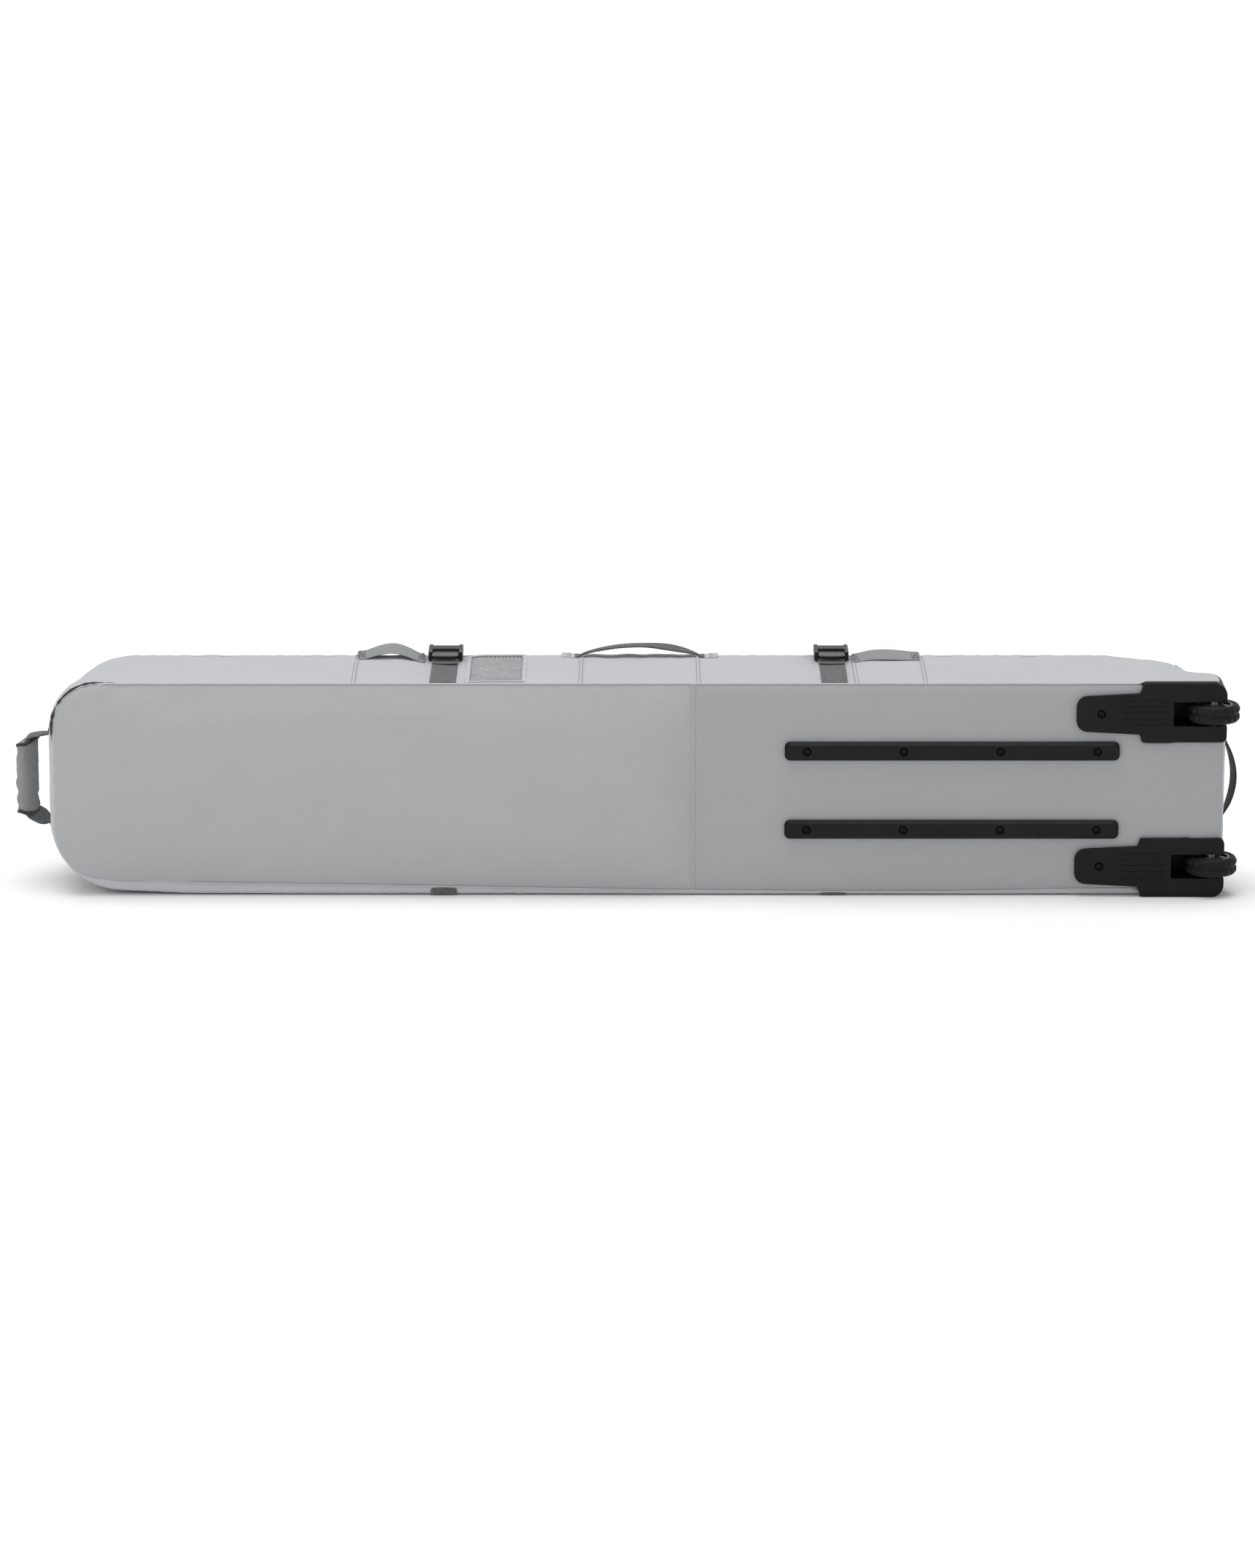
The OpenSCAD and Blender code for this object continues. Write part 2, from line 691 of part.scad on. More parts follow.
// tyre with round shoulders and grooves round the tread
module tyre() {
    outer = wheel_d / 2;
    rim_r = outer - 10;
    half = wheel_w / 2;
    shoulder = 4;
    color([0.13, 0.13, 0.13]) at_wheel() rotate_extrude() difference() {
        polygon(concat([[rim_r, -half]], arc(outer - shoulder, shoulder - half, shoulder, -90, 0),
            arc(outer - shoulder, half - shoulder, shoulder, 0, 90), [[rim_r, half]]));
        for (i = [-1:1]) translate([outer - 1.2, i * 5.5 - 0.9]) square([3, 1.8]);
    }
}

module upper_housing() { housing(); }
module lower_housing() { lower() housing(); }
module upper_axle() { axle(); }
module lower_axle() { lower() axle(); }
module upper_axle_sleeves() { axle_sleeves(); }
module lower_axle_sleeves() { lower() axle_sleeves(); }
module upper_bearings() { bearings(); }
module lower_bearings() { lower() bearings(); }
module upper_wheel_hub() { wheel_hub(); }
module lower_wheel_hub() { lower() wheel_hub(); }
module upper_tyre() { tyre(); }
module lower_tyre() { lower() tyre(); }

// bevelled rail with four screw holes, each with a pocket for the head
module skid_rail() {
    bevel = 4;
    x1 = rail_x + rail_length;
    z0 = z_mid + rail_z - rail_w / 2;
    z1 = z0 + rail_w;
    color([0.12, 0.12, 0.12]) difference() {
        hull() {
            prism_y(bevel - rail_t, 0) polygon(round_rect(rail_x, x1, z0, z1, 8, 8));
            prism_y(-rail_t, bevel - rail_t) polygon(round_rect(rail_x + bevel, x1 - bevel,
                z0 + bevel, z1 - bevel, 5, 5));
        }
        for (x = rail_screws_x) {
            pin_y(x, z_mid + rail_z, screw_r + run_gap, -rail_t - 1, 1);
            pin_y(x, z_mid + rail_z, pocket_r, -rail_t - 1, pocket_depth - rail_t);
        }
    }
}

module upper_skid_rail() { skid_rail(); }
module lower_skid_rail() { lower() skid_rail(); }

// one screw whose head rests at y; the shank ends in the space under the foam
module screw(x, z, y) {
    pin_y(x, z, screw_r, y, foam_y - 0.1);
    translate([x, y, z]) rotate([90, 0, 0]) rotate_extrude() polygon([[0, 0], [head_r, 0],
        [head_r, 1.2], [head_r - 1.6, head_t], [0, head_t]]);
}

module screws() {
    color([0.25, 0.25, 0.26]) both() {
        for (x = rail_screws_x) screw(x, z_mid + rail_z, pocket_depth - rail_t);
        screw(tongue_screw_x, wheel_z, block_y[0] + pocket_depth);
    }
}

module screw_washers() {
    y0 = panel_t + board_t;
    color([0.6, 0.6, 0.6]) difference() {
        screw_holes(7, y0, foam_y - 0.4);
        screw_holes(screw_r + run_gap, y0 - 1, foam_y);
    }
}

placed() base_nose_panel();
placed() base_tail_panel();
placed() base_board();
placed() base_foam();
placed() base_piping();
placed() upper_gusset();
placed() lower_gusset();
placed() nose_gusset();
placed() tail_panel();
placed() mesh_vent();
placed() lid_frame();
placed() tail_deck();
placed() frame_zip_half();
placed() lid_panel();
placed() lid_foam();
placed() lid_zip_half();
placed() nose_strap_upper();
placed() tail_strap_upper();
placed() nose_strap_lower();
placed() tail_strap_lower();
placed() nose_strap_lid();
placed() tail_strap_lid();
placed() nose_buckle_socket();
placed() tail_buckle_socket();
placed() nose_buckle_clip();
placed() tail_buckle_clip();
placed() nose_strap_end();
placed() tail_strap_end();
placed() zip_slider_a();
placed() zip_slider_b();
placed() zip_pull_a();
placed() zip_pull_b();
placed() carry_handle();
placed() carry_handle_anchors();
placed() carry_handle_patch();
placed() nose_tab_handle();
placed() tail_tab_handle();
placed() nose_handle();
placed() nose_handle_wrap();
placed() nose_handle_anchors();
placed() tail_handle();
placed() tail_handle_anchors();
placed() upper_housing();
placed() lower_housing();
placed() upper_axle();
placed() lower_axle();
placed() upper_axle_sleeves();
placed() lower_axle_sleeves();
placed() upper_bearings();
placed() lower_bearings();
placed() upper_wheel_hub();
placed() lower_wheel_hub();
placed() upper_tyre();
placed() lower_tyre();
placed() upper_skid_rail();
placed() lower_skid_rail();
placed() screws();
placed() screw_washers();
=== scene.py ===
"""Looks of the wheeled snowboard bag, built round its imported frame. Metres, +Z up, base facing -Y."""
import math
import random

import bmesh
import bpy
from mathutils import Matrix, Vector, noise


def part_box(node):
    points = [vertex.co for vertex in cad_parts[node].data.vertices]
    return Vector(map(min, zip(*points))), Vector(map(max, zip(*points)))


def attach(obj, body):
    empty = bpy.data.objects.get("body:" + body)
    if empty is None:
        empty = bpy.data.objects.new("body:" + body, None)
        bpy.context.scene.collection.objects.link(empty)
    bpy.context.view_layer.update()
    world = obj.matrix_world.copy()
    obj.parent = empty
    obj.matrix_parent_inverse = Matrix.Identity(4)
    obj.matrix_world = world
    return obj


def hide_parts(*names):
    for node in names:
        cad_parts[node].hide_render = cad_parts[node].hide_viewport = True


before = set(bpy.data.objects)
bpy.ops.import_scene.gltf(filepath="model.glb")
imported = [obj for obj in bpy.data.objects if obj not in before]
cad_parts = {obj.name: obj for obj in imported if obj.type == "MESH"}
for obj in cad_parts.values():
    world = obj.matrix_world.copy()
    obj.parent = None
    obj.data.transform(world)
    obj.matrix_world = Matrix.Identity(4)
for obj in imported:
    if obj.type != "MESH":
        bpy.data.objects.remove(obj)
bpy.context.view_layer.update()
scene = bpy.context.scene
draw = random.Random(11)

# ---- driving dimensions, read from the frame ----
X_AXIS, Y_AXIS, Z_AXIS = Vector((1, 0, 0)), Vector((0, 1, 0)), Vector((0, 0, 1))
base_lo, base_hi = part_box("base_nose_panel")
deck_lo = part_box("tail_deck")[0]
lid_lo, lid_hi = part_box("lid_panel")
board_lo, board_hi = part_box("base_foam")
lid_foam_lo, lid_foam_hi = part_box("lid_foam")
block_lo, block_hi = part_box("upper_housing")
X_NOSE, X_SEAM, X_TAPER = base_lo.x, base_hi.x, deck_lo.x
X_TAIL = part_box("base_tail_panel")[1].x
Z_LOW, Z_HIGH = base_lo.z, base_hi.z
Z_MID = (Z_LOW + Z_HIGH) / 2
Y_BASE, Y_LID = base_lo.y, lid_hi.y
SKIN = lid_hi.y - lid_lo.y
Y_TAIL = deck_lo.y + SKIN
R_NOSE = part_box("nose_gusset")[1].x - X_NOSE
R_TAIL = X_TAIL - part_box("tail_panel")[0].x
DECK_SLACK = 0.02
R_DECK = R_TAIL + DECK_SLACK
BLOCK_LENGTH = 0.119
BLOCK_X = X_TAIL - BLOCK_LENGTH
BLOCK_Z = block_lo.z
CLOTH_T = 0.0022
WEB_T = 0.002
STRAPS = {end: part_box(end + "_strap_upper") for end in ("nose", "tail")}


# ---- materials ----

def new_material(name, colour, roughness):
    """A material with its node tree, its shader and its object coordinates."""
    mat = bpy.data.materials.new(name)
    mat.use_nodes = True
    tree = mat.node_tree
    shader = tree.nodes["Principled BSDF"]
    shader.inputs["Base Color"].default_value = (*colour, 1)
    shader.inputs["Roughness"].default_value = roughness
    coords = tree.nodes.new("ShaderNodeTexCoord").outputs["Object"]
    return mat, tree, shader, coords


def grain_of(tree, coords, scale, detail=2):
    """Noise between 0 and 1."""
    tex = tree.nodes.new("ShaderNodeTexNoise")
    tex.inputs["Scale"].default_value = scale
    tex.inputs["Detail"].default_value = detail
    tree.links.new(coords, tex.inputs["Vector"])
    return tex.outputs["Fac"]


def added(tree, a, b):
    add = tree.nodes.new("ShaderNodeMath")
    add.operation = "ADD"
    tree.links.new(a, add.inputs[0])
    tree.links.new(b, add.inputs[1])
    return add.outputs[0]


def ranged(tree, value, side, low, high):
    """The value mapped from or to a range; side is From or To."""
    fit = tree.nodes.new("ShaderNodeMapRange")
    fit.inputs[side + " Min"].default_value = low
    fit.inputs[side + " Max"].default_value = high
    tree.links.new(value, fit.inputs["Value"])
    return fit.outputs["Result"]


def mottled(tree, shader, coords, colour, spread, fine, coarse):
    """Base colour that drifts softly over the cloth and varies from thread to thread."""
    both = added(tree, grain_of(tree, coords, coarse, 3), grain_of(tree, coords, fine, 1))
    mix = tree.nodes.new("ShaderNodeMix")
    mix.data_type = "RGBA"
    tree.links.new(ranged(tree, both, "From", 0.6, 1.4), mix.inputs["Factor"])
    mix.inputs["A"].default_value = (*[c * (1 - spread) for c in colour], 1)
    mix.inputs["B"].default_value = (*[min(c * (1 + spread), 1) for c in colour], 1)
    tree.links.new(mix.outputs["Result"], shader.inputs["Base Color"])


def bump_from(tree, shader, heights, distance):
    """Bump made of a sum of heights, in metres of distance."""
    total = heights[0]
    for height in heights[1:]:
        total = added(tree, total, height)
    bump = tree.nodes.new("ShaderNodeBump")
    bump.inputs["Strength"].default_value = 1.0
    bump.inputs["Distance"].default_value = distance
    tree.links.new(total, bump.inputs["Height"])
    tree.links.new(bump.outputs["Normal"], shader.inputs["Normal"])


def threads(tree, coords, pitch):
    """Wave heights whose crests are one pitch apart along each axis."""
    wave_period = 2 * math.pi / 20
    out = []
    for axis in "XYZ":
        wave = tree.nodes.new("ShaderNodeTexWave")
        wave.bands_direction = axis
        wave.inputs["Scale"].default_value = wave_period / pitch
        wave.inputs["Distortion"].default_value = 0.4
        wave.inputs["Detail"].default_value = 1
        tree.links.new(coords, wave.inputs["Vector"])
        out.append(wave.outputs["Fac"])
    return out


def woven(name, colour, pitch=0.0012, depth=0.00012, spread=0.05, roughness=0.72, coarse=9):
    """Cloth or webbing with raised threads; the pitch is the distance between them."""
    mat, tree, shader, coords = new_material(name, colour, roughness)
    shader.inputs["Sheen Weight"].default_value = 0.25
    shader.inputs["Sheen Roughness"].default_value = 0.4
    shader.inputs["Specular IOR Level"].default_value = 0.3
    mottled(tree, shader, coords, colour, spread, fine=0.7 / pitch, coarse=coarse)
    bump_from(tree, shader, threads(tree, coords, pitch), depth)
    return mat


def moulded(name, colour, roughness=0.42, grain=0.00006, grain_scale=1400, gloss=0.16):
    """Black plastic with a fine spark-eroded grain and slightly rubbed patches."""
    mat, tree, shader, coords = new_material(name, colour, roughness)
    shader.inputs["Specular IOR Level"].default_value = gloss
    mottled(tree, shader, coords, colour, 0.25, fine=400, coarse=22)
    bump_from(tree, shader, [grain_of(tree, coords, grain_scale)], grain)
    rubbed = ranged(tree, grain_of(tree, coords, 60, 4), "To", roughness - 0.08, roughness + 0.14)
    tree.links.new(rubbed, shader.inputs["Roughness"])
    return mat


def metal(name, colour, roughness):
    """Polished or blackened metal with a very fine grain."""
    mat = moulded(name, colour, roughness, grain=0.00002, grain_scale=2500, gloss=0.5)
    mat.node_tree.nodes["Principled BSDF"].inputs["Metallic"].default_value = 1.0
    return mat


# The base grey is darker than the side grey partly as painted shade for the front face; the tail grey is
# darker again, painted shade for the light falling off towards the tail.
GREY_BASE, GREY_TAIL_SHADED, GREY_SIDE = (0.395, 0.405, 0.415), (0.355, 0.362, 0.37), (0.492, 0.505, 0.523)
MATS = {
    "base": woven("base_cloth", GREY_BASE, spread=0.035, roughness=0.62),
    "tail": woven("tail_cloth", GREY_TAIL_SHADED, spread=0.03, roughness=0.55, depth=0.00008),
    "side": woven("side_cloth", GREY_SIDE, spread=0.04, roughness=0.66),
    "lining": woven("lining_cloth", (0.16, 0.165, 0.17), pitch=0.0009, spread=0.06),
    "web": woven("dark_webbing", (0.115, 0.118, 0.122), pitch=0.0022, depth=0.0004, spread=0.28,
                 coarse=160),
    "dark": woven("edge_binding", (0.04, 0.041, 0.043), pitch=0.0016, depth=0.0003, spread=0.2, coarse=120),
    "tab": woven("tab_webbing", (0.28, 0.284, 0.29), pitch=0.0022, depth=0.0004, spread=0.1, coarse=90),
    "wrap": woven("wrap_cloth", (0.26, 0.265, 0.27), pitch=0.0011, spread=0.1, coarse=40),
    "mesh": woven("vent_mesh", (0.36, 0.37, 0.38), pitch=0.0009, spread=0.1),
    "vent_cloth": woven("vent_cloth", (0.78, 0.79, 0.80), pitch=0.0009, spread=0.03),
    "tape": woven("zip_tape", (0.03, 0.031, 0.033), pitch=0.0011, spread=0.15),
    "thread": woven("thread", (0.36, 0.37, 0.38), pitch=0.0005, depth=0.00005, spread=0.1),
    "dark_thread": woven("dark_thread", (0.09, 0.09, 0.095), pitch=0.0005, depth=0.00005, spread=0.1),
    "plastic": moulded("buckle_nylon", (0.008, 0.008, 0.0085), 0.3, gloss=0.3),
    "housing": moulded("housing_plastic", (0.0065, 0.0067, 0.007), 0.4, grain=0.00012, grain_scale=700),
    "rail": moulded("rail_plastic", (0.007, 0.0072, 0.0075), 0.42, grain=0.0001, grain_scale=800),
    "hub": moulded("hub_plastic", (0.05, 0.051, 0.055), 0.25, gloss=0.6),
    "tyre": moulded("tyre_rubber", (0.009, 0.009, 0.0095), 0.45, grain=0.0002, grain_scale=500),
    "coil": moulded("zip_coil", (0.014, 0.014, 0.015), 0.35),
    "steel": metal("plain_steel", (0.5, 0.5, 0.51), 0.3),
    "black_steel": metal("black_steel", (0.014, 0.014, 0.015), 0.38),
}


# ---- mesh helpers ----

def new_piece(name, verts, faces, mat, body, slot, replaced=(), smooth=True):
    """A mesh that rides on a body, in place of the CAD nodes it replaces; slot is not used."""
    mesh = bpy.data.meshes.new(name)
    mesh.from_pydata([tuple(v) for v in verts], [], faces)
    mesh.update()
    piece = bpy.data.objects.new(name, mesh)
    scene.collection.objects.link(piece)
    mesh.materials.append(MATS[mat])
    if smooth:
        mesh.polygons.foreach_set("use_smooth", [True] * len(mesh.polygons))
    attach(piece, body)
    if replaced:
        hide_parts(*replaced)
    return piece


def add_modifier(piece, kind, **values):
    mod = piece.modifiers.new(kind.lower(), kind)
    for key, value in values.items():
        setattr(mod, key, value)
    return mod


def lerp(a, b, t):
    return a + (b - a) * t


def fade(x):
    """0 to 1 with flat ends."""
    x = min(max(x, 0), 1)
    return x * x * (3 - 2 * x)


def steps(a, b, n):
    """Evenly spaced values from a to b, in n steps."""
    return [lerp(a, b, k / n) for k in range(n + 1)]


def turns(n):
    """Cosine and sine of n evenly spaced directions."""
    return [(math.cos(2 * math.pi * k / n), math.sin(2 * math.pi * k / n)) for k in range(n)]


def skin(rings, around, first=0, closed=False):
    """Faces between rings of points numbered from first, capped at both ends unless they close up."""
    faces = []
    for k in range(rings if closed else rings - 1):
        a, b = first + k * around, first + (k + 1) % rings * around
        for s in range(around):
            t = (s + 1) % around
            faces.append([a + s, a + t, b + t, b + s])
    if not closed:
        last = first + (rings - 1) * around
        faces += [[first + s for s in range(around)][::-1], [last + s for s in range(around)]]
    return faces


class Panel:
    """A grid of cloth points that can be asked for a place and an outward normal anywhere on it."""

    def __init__(self, rows, closed=False, flip=False, keep=None):
        self.rows, self.closed, self.flip = rows, closed, flip
        self.n_i, self.n_j = len(rows), len(rows[0])
        self.keep = keep

    def index(self, i, j):
        return (i % self.n_i) * self.n_j + j

    def faces(self):
        out = []
        for i in range(self.n_i if self.closed else self.n_i - 1):
            for j in range(self.n_j - 1):
                quad = [self.index(i, j), self.index(i + 1, j), self.index(i + 1, j + 1),
                        self.index(i, j + 1)]
                if self.keep and not self.keep(self.at(i + 0.5, j + 0.5)):
                    continue
                out.append(quad[::-1] if self.flip else quad)
        return out

    def at(self, i, j):
        i0, j0 = int(math.floor(i)), min(int(j), self.n_j - 2)
        if not self.closed:
            i0 = min(max(i0, 0), self.n_i - 2)
        a, b = self.rows[i0 % self.n_i], self.rows[(i0 + 1) % self.n_i]
        u, v = i - i0, j - j0
        return lerp(lerp(a[j0], a[j0 + 1], v), lerp(b[j0], b[j0 + 1], v), u)

    def normal(self, i, j):
        h = 0.4
        di = self.at(i + h, j) - self.at(i - h, j)
        dj = self.at(i, min(j + h, self.n_j - 1)) - self.at(i, max(j - h, 0))
        n = di.cross(dj).normalized()
        return -n if self.flip else n

    def make(self, name, mat, body, slot, replaced=()):
        verts = [p for row in self.rows for p in row]
        self.piece = new_piece(name, verts, self.faces(), mat, body, slot, replaced)
        return self.piece

    def read_back(self):
        verts = self.piece.data.vertices
        self.rows = [[verts[self.index(i, j)].co.copy() for j in range(self.n_j)] for i in range(self.n_i)]


def billow(panel, held, pressure, slack, cap, frames=14):
    """Cloth that is a little larger than its frame, pushed outward and sewn down where held() is true."""
    piece = panel.piece
    rest = [v.co.copy() for v in piece.data.vertices]
    group = piece.vertex_groups.new(name="sewn")
    sewn = [v.index for v in piece.data.vertices
            if held(v.index // panel.n_j, v.index % panel.n_j, v.co)]
    group.add(sewn, 1.0, "REPLACE")
    mod = add_modifier(piece, "CLOTH")
    cloth = mod.settings
    cloth.quality = 6
    cloth.mass = 0.15
    cloth.tension_stiffness = cloth.compression_stiffness = 12
    cloth.shear_stiffness = 6
    cloth.bending_stiffness = 0.4
    cloth.vertex_group_mass = group.name
    cloth.use_pressure = True
    cloth.uniform_pressure_force = pressure
    cloth.shrink_min = -slack
    cloth.effector_weights.gravity = 0
    mod.point_cache.frame_start, mod.point_cache.frame_end = 1, frames
    for step in range(1, frames + 1):
        scene.frame_set(step)
    shape = piece.evaluated_get(bpy.context.evaluated_depsgraph_get())
    moved = [v.co.copy() for v in shape.data.vertices]
    piece.modifiers.remove(mod)
    scene.frame_set(1)
    for vert, old, new in zip(piece.data.vertices, rest, moved):
        step = new - old
        if step.length > cap:
            step *= cap / step.length
        vert.co = old + step
        vert.co.z = max(vert.co.z, 0.0008)
    piece.data.update()
    panel.read_back()


def smoothed(piece):
    add_modifier(piece, "SUBSURF", levels=1, render_levels=1)


def finish_cloth(piece, thickness=CLOTH_T):
    add_modifier(piece, "SOLIDIFY", thickness=thickness, offset=-1)
    smoothed(piece)


def new_solid(*args, **values):
    """A closed piece, with its faces all looking outward."""
    piece = new_piece(*args, **values)
    fix_normals(piece)
    return piece


TUBE_SIDES = 8


def tube(name, path, radius, mat, body, slot, closed=False, replaced=(), swell=None):
    """Round welt or cord along a list of points."""
    n = len(path)
    verts = []
    for k, p in enumerate(path):
        a = path[(k - 1) % n] if closed or k else p
        b = path[(k + 1) % n] if closed or k < n - 1 else p
        along = (b - a).normalized()
        side = along.cross(Y_AXIS if abs(along.y) < 0.9 else Z_AXIS).normalized()
        up = side.cross(along)
        r = radius * (swell(k / n) if swell else 1)
        verts += [p + side * (r * c) + up * (r * s) for c, s in turns(TUBE_SIDES)]
    return new_solid(name, verts, skin(n, TUBE_SIDES, closed=closed), mat, body, slot, replaced)


def fix_normals(piece):
    bm = bmesh.new()
    bm.from_mesh(piece.data)
    bmesh.ops.recalc_face_normals(bm, faces=bm.faces)
    bm.to_mesh(piece.data)
    bm.free()


def ribbon_mesh(bands):
    """Verts and faces of bands. A station is (centre, width direction, normal, width, thickness)."""
    under = [(-1, -0.25), (-0.96, -0.5), (-0.5, -0.56), (0, -0.5), (0.5, -0.56), (0.96, -0.5), (1, -0.25)]
    section = under + [(-u, -v) for u, v in under]
    verts, faces = [], []
    for stations in bands:
        faces += skin(len(stations), len(section), len(verts))
        for centre, across, normal, width, thick in stations:
            verts += [centre + across * (u * width / 2) + normal * (v * thick) for u, v in section]
    return verts, faces


def ribbon(name, stations, mat, body, slot, replaced=(), smooth=True):
    """One band, or several bands in one piece when stations is a list of lists."""
    bands = stations if isinstance(stations[0], list) else [stations]
    verts, faces = ribbon_mesh(bands)
    piece = new_solid(name, verts, faces, mat, body, slot, replaced)
    if smooth:
        smoothed(piece)


def band(path, across, width, thick, width_at=None, wobble=0.0):
    """Stations along a path whose width lies along one direction; wobble crumples the webbing."""
    out = []
    for k, p in enumerate(path):
        a, b = path[max(k - 1, 0)], path[min(k + 1, len(path) - 1)]
        along = (b - a).normalized()
        normal = along.cross(across).normalized()
        w = width * (width_at(k / (len(path) - 1)) if width_at else 1)
        crease = wobble * noise.noise(p * 55)
        lean = Matrix.Rotation(wobble * 140 * noise.noise(p * 40 + X_AXIS * 3), 3, along)
        out.append((p + normal * crease, lean @ across, lean @ normal, w, thick))
    return out


def resample(points, step):
    """The same polyline with points one step apart."""
    out, carry = [points[0].copy()], 0.0
    for a, b in zip(points, points[1:]):
        length = (b - a).length
        t = step - carry
        while t <= length:
            out.append(lerp(a, b, t / length))
            t += step
        carry = length - (t - step)
    out.append(points[-1].copy())
    return out


def rounded(points, radius, n=6):
    """A polyline with its corners replaced by arcs."""
    out = [points[0]]
    for a, b, c in zip(points, points[1:], points[2:]):
        to_a, to_c = (a - b), (c - b)
        cut = min(radius, to_a.length / 2.01, to_c.length / 2.01)
        p, q = b + to_a.normalized() * cut, b + to_c.normalized() * cut
        for k in range(n + 1):
            t = k / n
            out.append(lerp(lerp(p, b, t), lerp(b, q, t), t))
    out.append(points[-1])
    return out


def add_bead(verts, faces, centre, along, side, up, rings):
    """Six-sided bead. A ring is (place along its axis, share of the side and up radii)."""
    faces += skin(len(rings), 6, len(verts))
    for place, share in rings:
        verts += [centre + along * place + side * (share * c) + up * (share * s)
                  for c, s in turns(6)]


def stitches(name, runs, body, slot, mat="thread", pitch=0.0042, length=0.003):
    """Rows of thread. A run is a list of (point, normal) pairs."""
    radius = 0.00045
    rings = [(share * length, width) for share, width in ((-0.5, 0.35), (-0.25, 1), (0.25, 1), (0.5, 0.35))]
    verts, faces = [], []
    for run in runs:
        points = [p for p, _ in run]
        total = sum((b - a).length for a, b in zip(points, points[1:]))
        count = max(int(total / pitch), 1)
        walked, k = 0.0, 0
        for c in range(count):
            goal = (c + 0.5) * total / count
            while k < len(points) - 2 and walked + (points[k + 1] - points[k]).length < goal:
                walked += (points[k + 1] - points[k]).length
                k += 1
            edge = points[k + 1] - points[k]
            centre = points[k] + edge * min((goal - walked) / max(edge.length, 1e-9), 1)
            along, normal = edge.normalized(), run[k][1]
            side = along.cross(normal).normalized()
            add_bead(verts, faces, centre, along, side * radius, normal * radius, rings)
    new_solid(name, verts, faces, mat, body, slot)


def bevelled(piece, width, segments, degrees=35):
    add_modifier(piece, "BEVEL", width=width, segments=segments, limit_method="ANGLE",
                 angle_limit=math.radians(degrees))


def polish(node, mat, width, segments=3):
    """A carried-over CAD node with rounded edges and its own material."""
    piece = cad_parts[node]
    piece.data.materials.clear()
    piece.data.materials.append(MATS[mat])
    add_modifier(piece, "DECIMATE", decimate_type="DISSOLVE", angle_limit=math.radians(1))
    bevelled(piece, width, segments)
    add_modifier(piece, "WEIGHTED_NORMAL")


# ---- outlines ----
N_LONG, N_ARC, N_NOSE, N_END = 176, 14, 14, 26


def outline(x0, x1, z0, z1, nose_r, tail_r, low_r=None):
    """Round-cornered rectangle in (x, z) with the same number of points for any size."""
    low_r = low_r or nose_r

    def corner(cx, cz, r, start):
        return [(cx + r * math.cos(math.radians(start + 90 * k / N_ARC)),
                 cz + r * math.sin(math.radians(start + 90 * k / N_ARC))) for k in range(N_ARC)]

    def straight(a, b, n):
        return [(lerp(a[0], b[0], k / n), lerp(a[1], b[1], k / n)) for k in range(n)]
    return (corner(x1 - tail_r, z1 - tail_r, tail_r, 0)
            + straight((x1 - tail_r, z1), (x0 + nose_r, z1), N_LONG)
            + corner(x0 + nose_r, z1 - nose_r, nose_r, 90)
            + straight((x0, z1 - nose_r), (x0, z0 + low_r), N_NOSE)
            + corner(x0 + low_r, z0 + low_r, low_r, 180)
            + straight((x0 + low_r, z0), (x1 - tail_r, z0), N_LONG)
            + corner(x1 - tail_r, z0 + tail_r, tail_r, 270)
            + straight((x1, z0 + tail_r), (x1, z1 - tail_r), N_END))


def top_y(x):
    """Height of the lid's surface above the base, which drops over the wheels."""
    share = max(x - X_TAPER, 0) / (X_TAIL - X_TAPER)
    return lerp(Y_LID, Y_TAIL - 0.012, share ** 0.85)


def edge_distance(dx, dz, r):
    """How far a point is inside a rounded corner, from its distances to the two sides."""
    if dx < r and dz < r:
        return r - math.hypot(r - dx, r - dz)
    return min(dx, dz)


SEAM_IN = 0.0006
SEAM_BACK = 0.0042
ROLL = 0.011
BULGE = 0.0035


def seam_lift(x):
    """How far the lower base seam rides above the floor where the side wall sags round it."""
    nose_sag = 0.0135 * fade((0.35 - x) / 1.15)
    tail_sag = 0.004 * fade((x - 0.45) / 0.25)
    return (0.0035 + nose_sag + tail_sag) * fade((x - X_NOSE - 0.02) / 0.07)


def nose_gap(x):
    """The nose stands a little clear of the floor."""
    return 0.005 * fade((-0.6 - x) / 0.16)


def ripple(s, wave, seed):
    """Uneven puckers along a seam."""
    drift = 6.6 * noise.noise(Vector((s * 9, seed, 0)))
    strength = 0.55 + 0.6 * noise.noise(Vector((s * 14, 0, seed)))
    return math.sin(2 * math.pi * s / wave + drift) * strength


def in_block(p, margin=0.004):
    """True where a wheel housing fills the corner."""
    return (p.x > BLOCK_X + margin and p.y < block_hi.y - margin
            and (p.z > BLOCK_Z + margin or p.z < 2 * Z_MID - BLOCK_Z - margin))


# ---- fabric body ----

def column_x(start, stop, r_start, r_stop, step):
    """Column places that crowd where the outline curves."""
    xs = [start + r_start * (1 - math.cos(math.pi / 2 * k / N_ARC)) for k in range(N_ARC)] if r_start else []
    a, b = start + r_start, stop - r_stop
    n = int((b - a) / step)
    xs += [lerp(a, b, k / n) for k in range(n + 1)]
    if r_stop:
        xs += [b + r_stop * math.sin(math.pi / 2 * k / N_ARC) for k in range(1, N_ARC + 1)]
    return xs


def corner_cut(gap, r):
    """How far a rounded corner cuts in, at a distance from the end of the panel."""
    return r - math.sqrt(max(r * r - max(r - gap, 0) ** 2, 0))


NOSE_SEAM = 0.006
R_BASE_HIGH, R_BASE_LOW = R_NOSE - 0.033, R_NOSE + 0.003
N_ACROSS = 34
COLUMN_STEP = 0.0095
SQUARE = (0, 0)


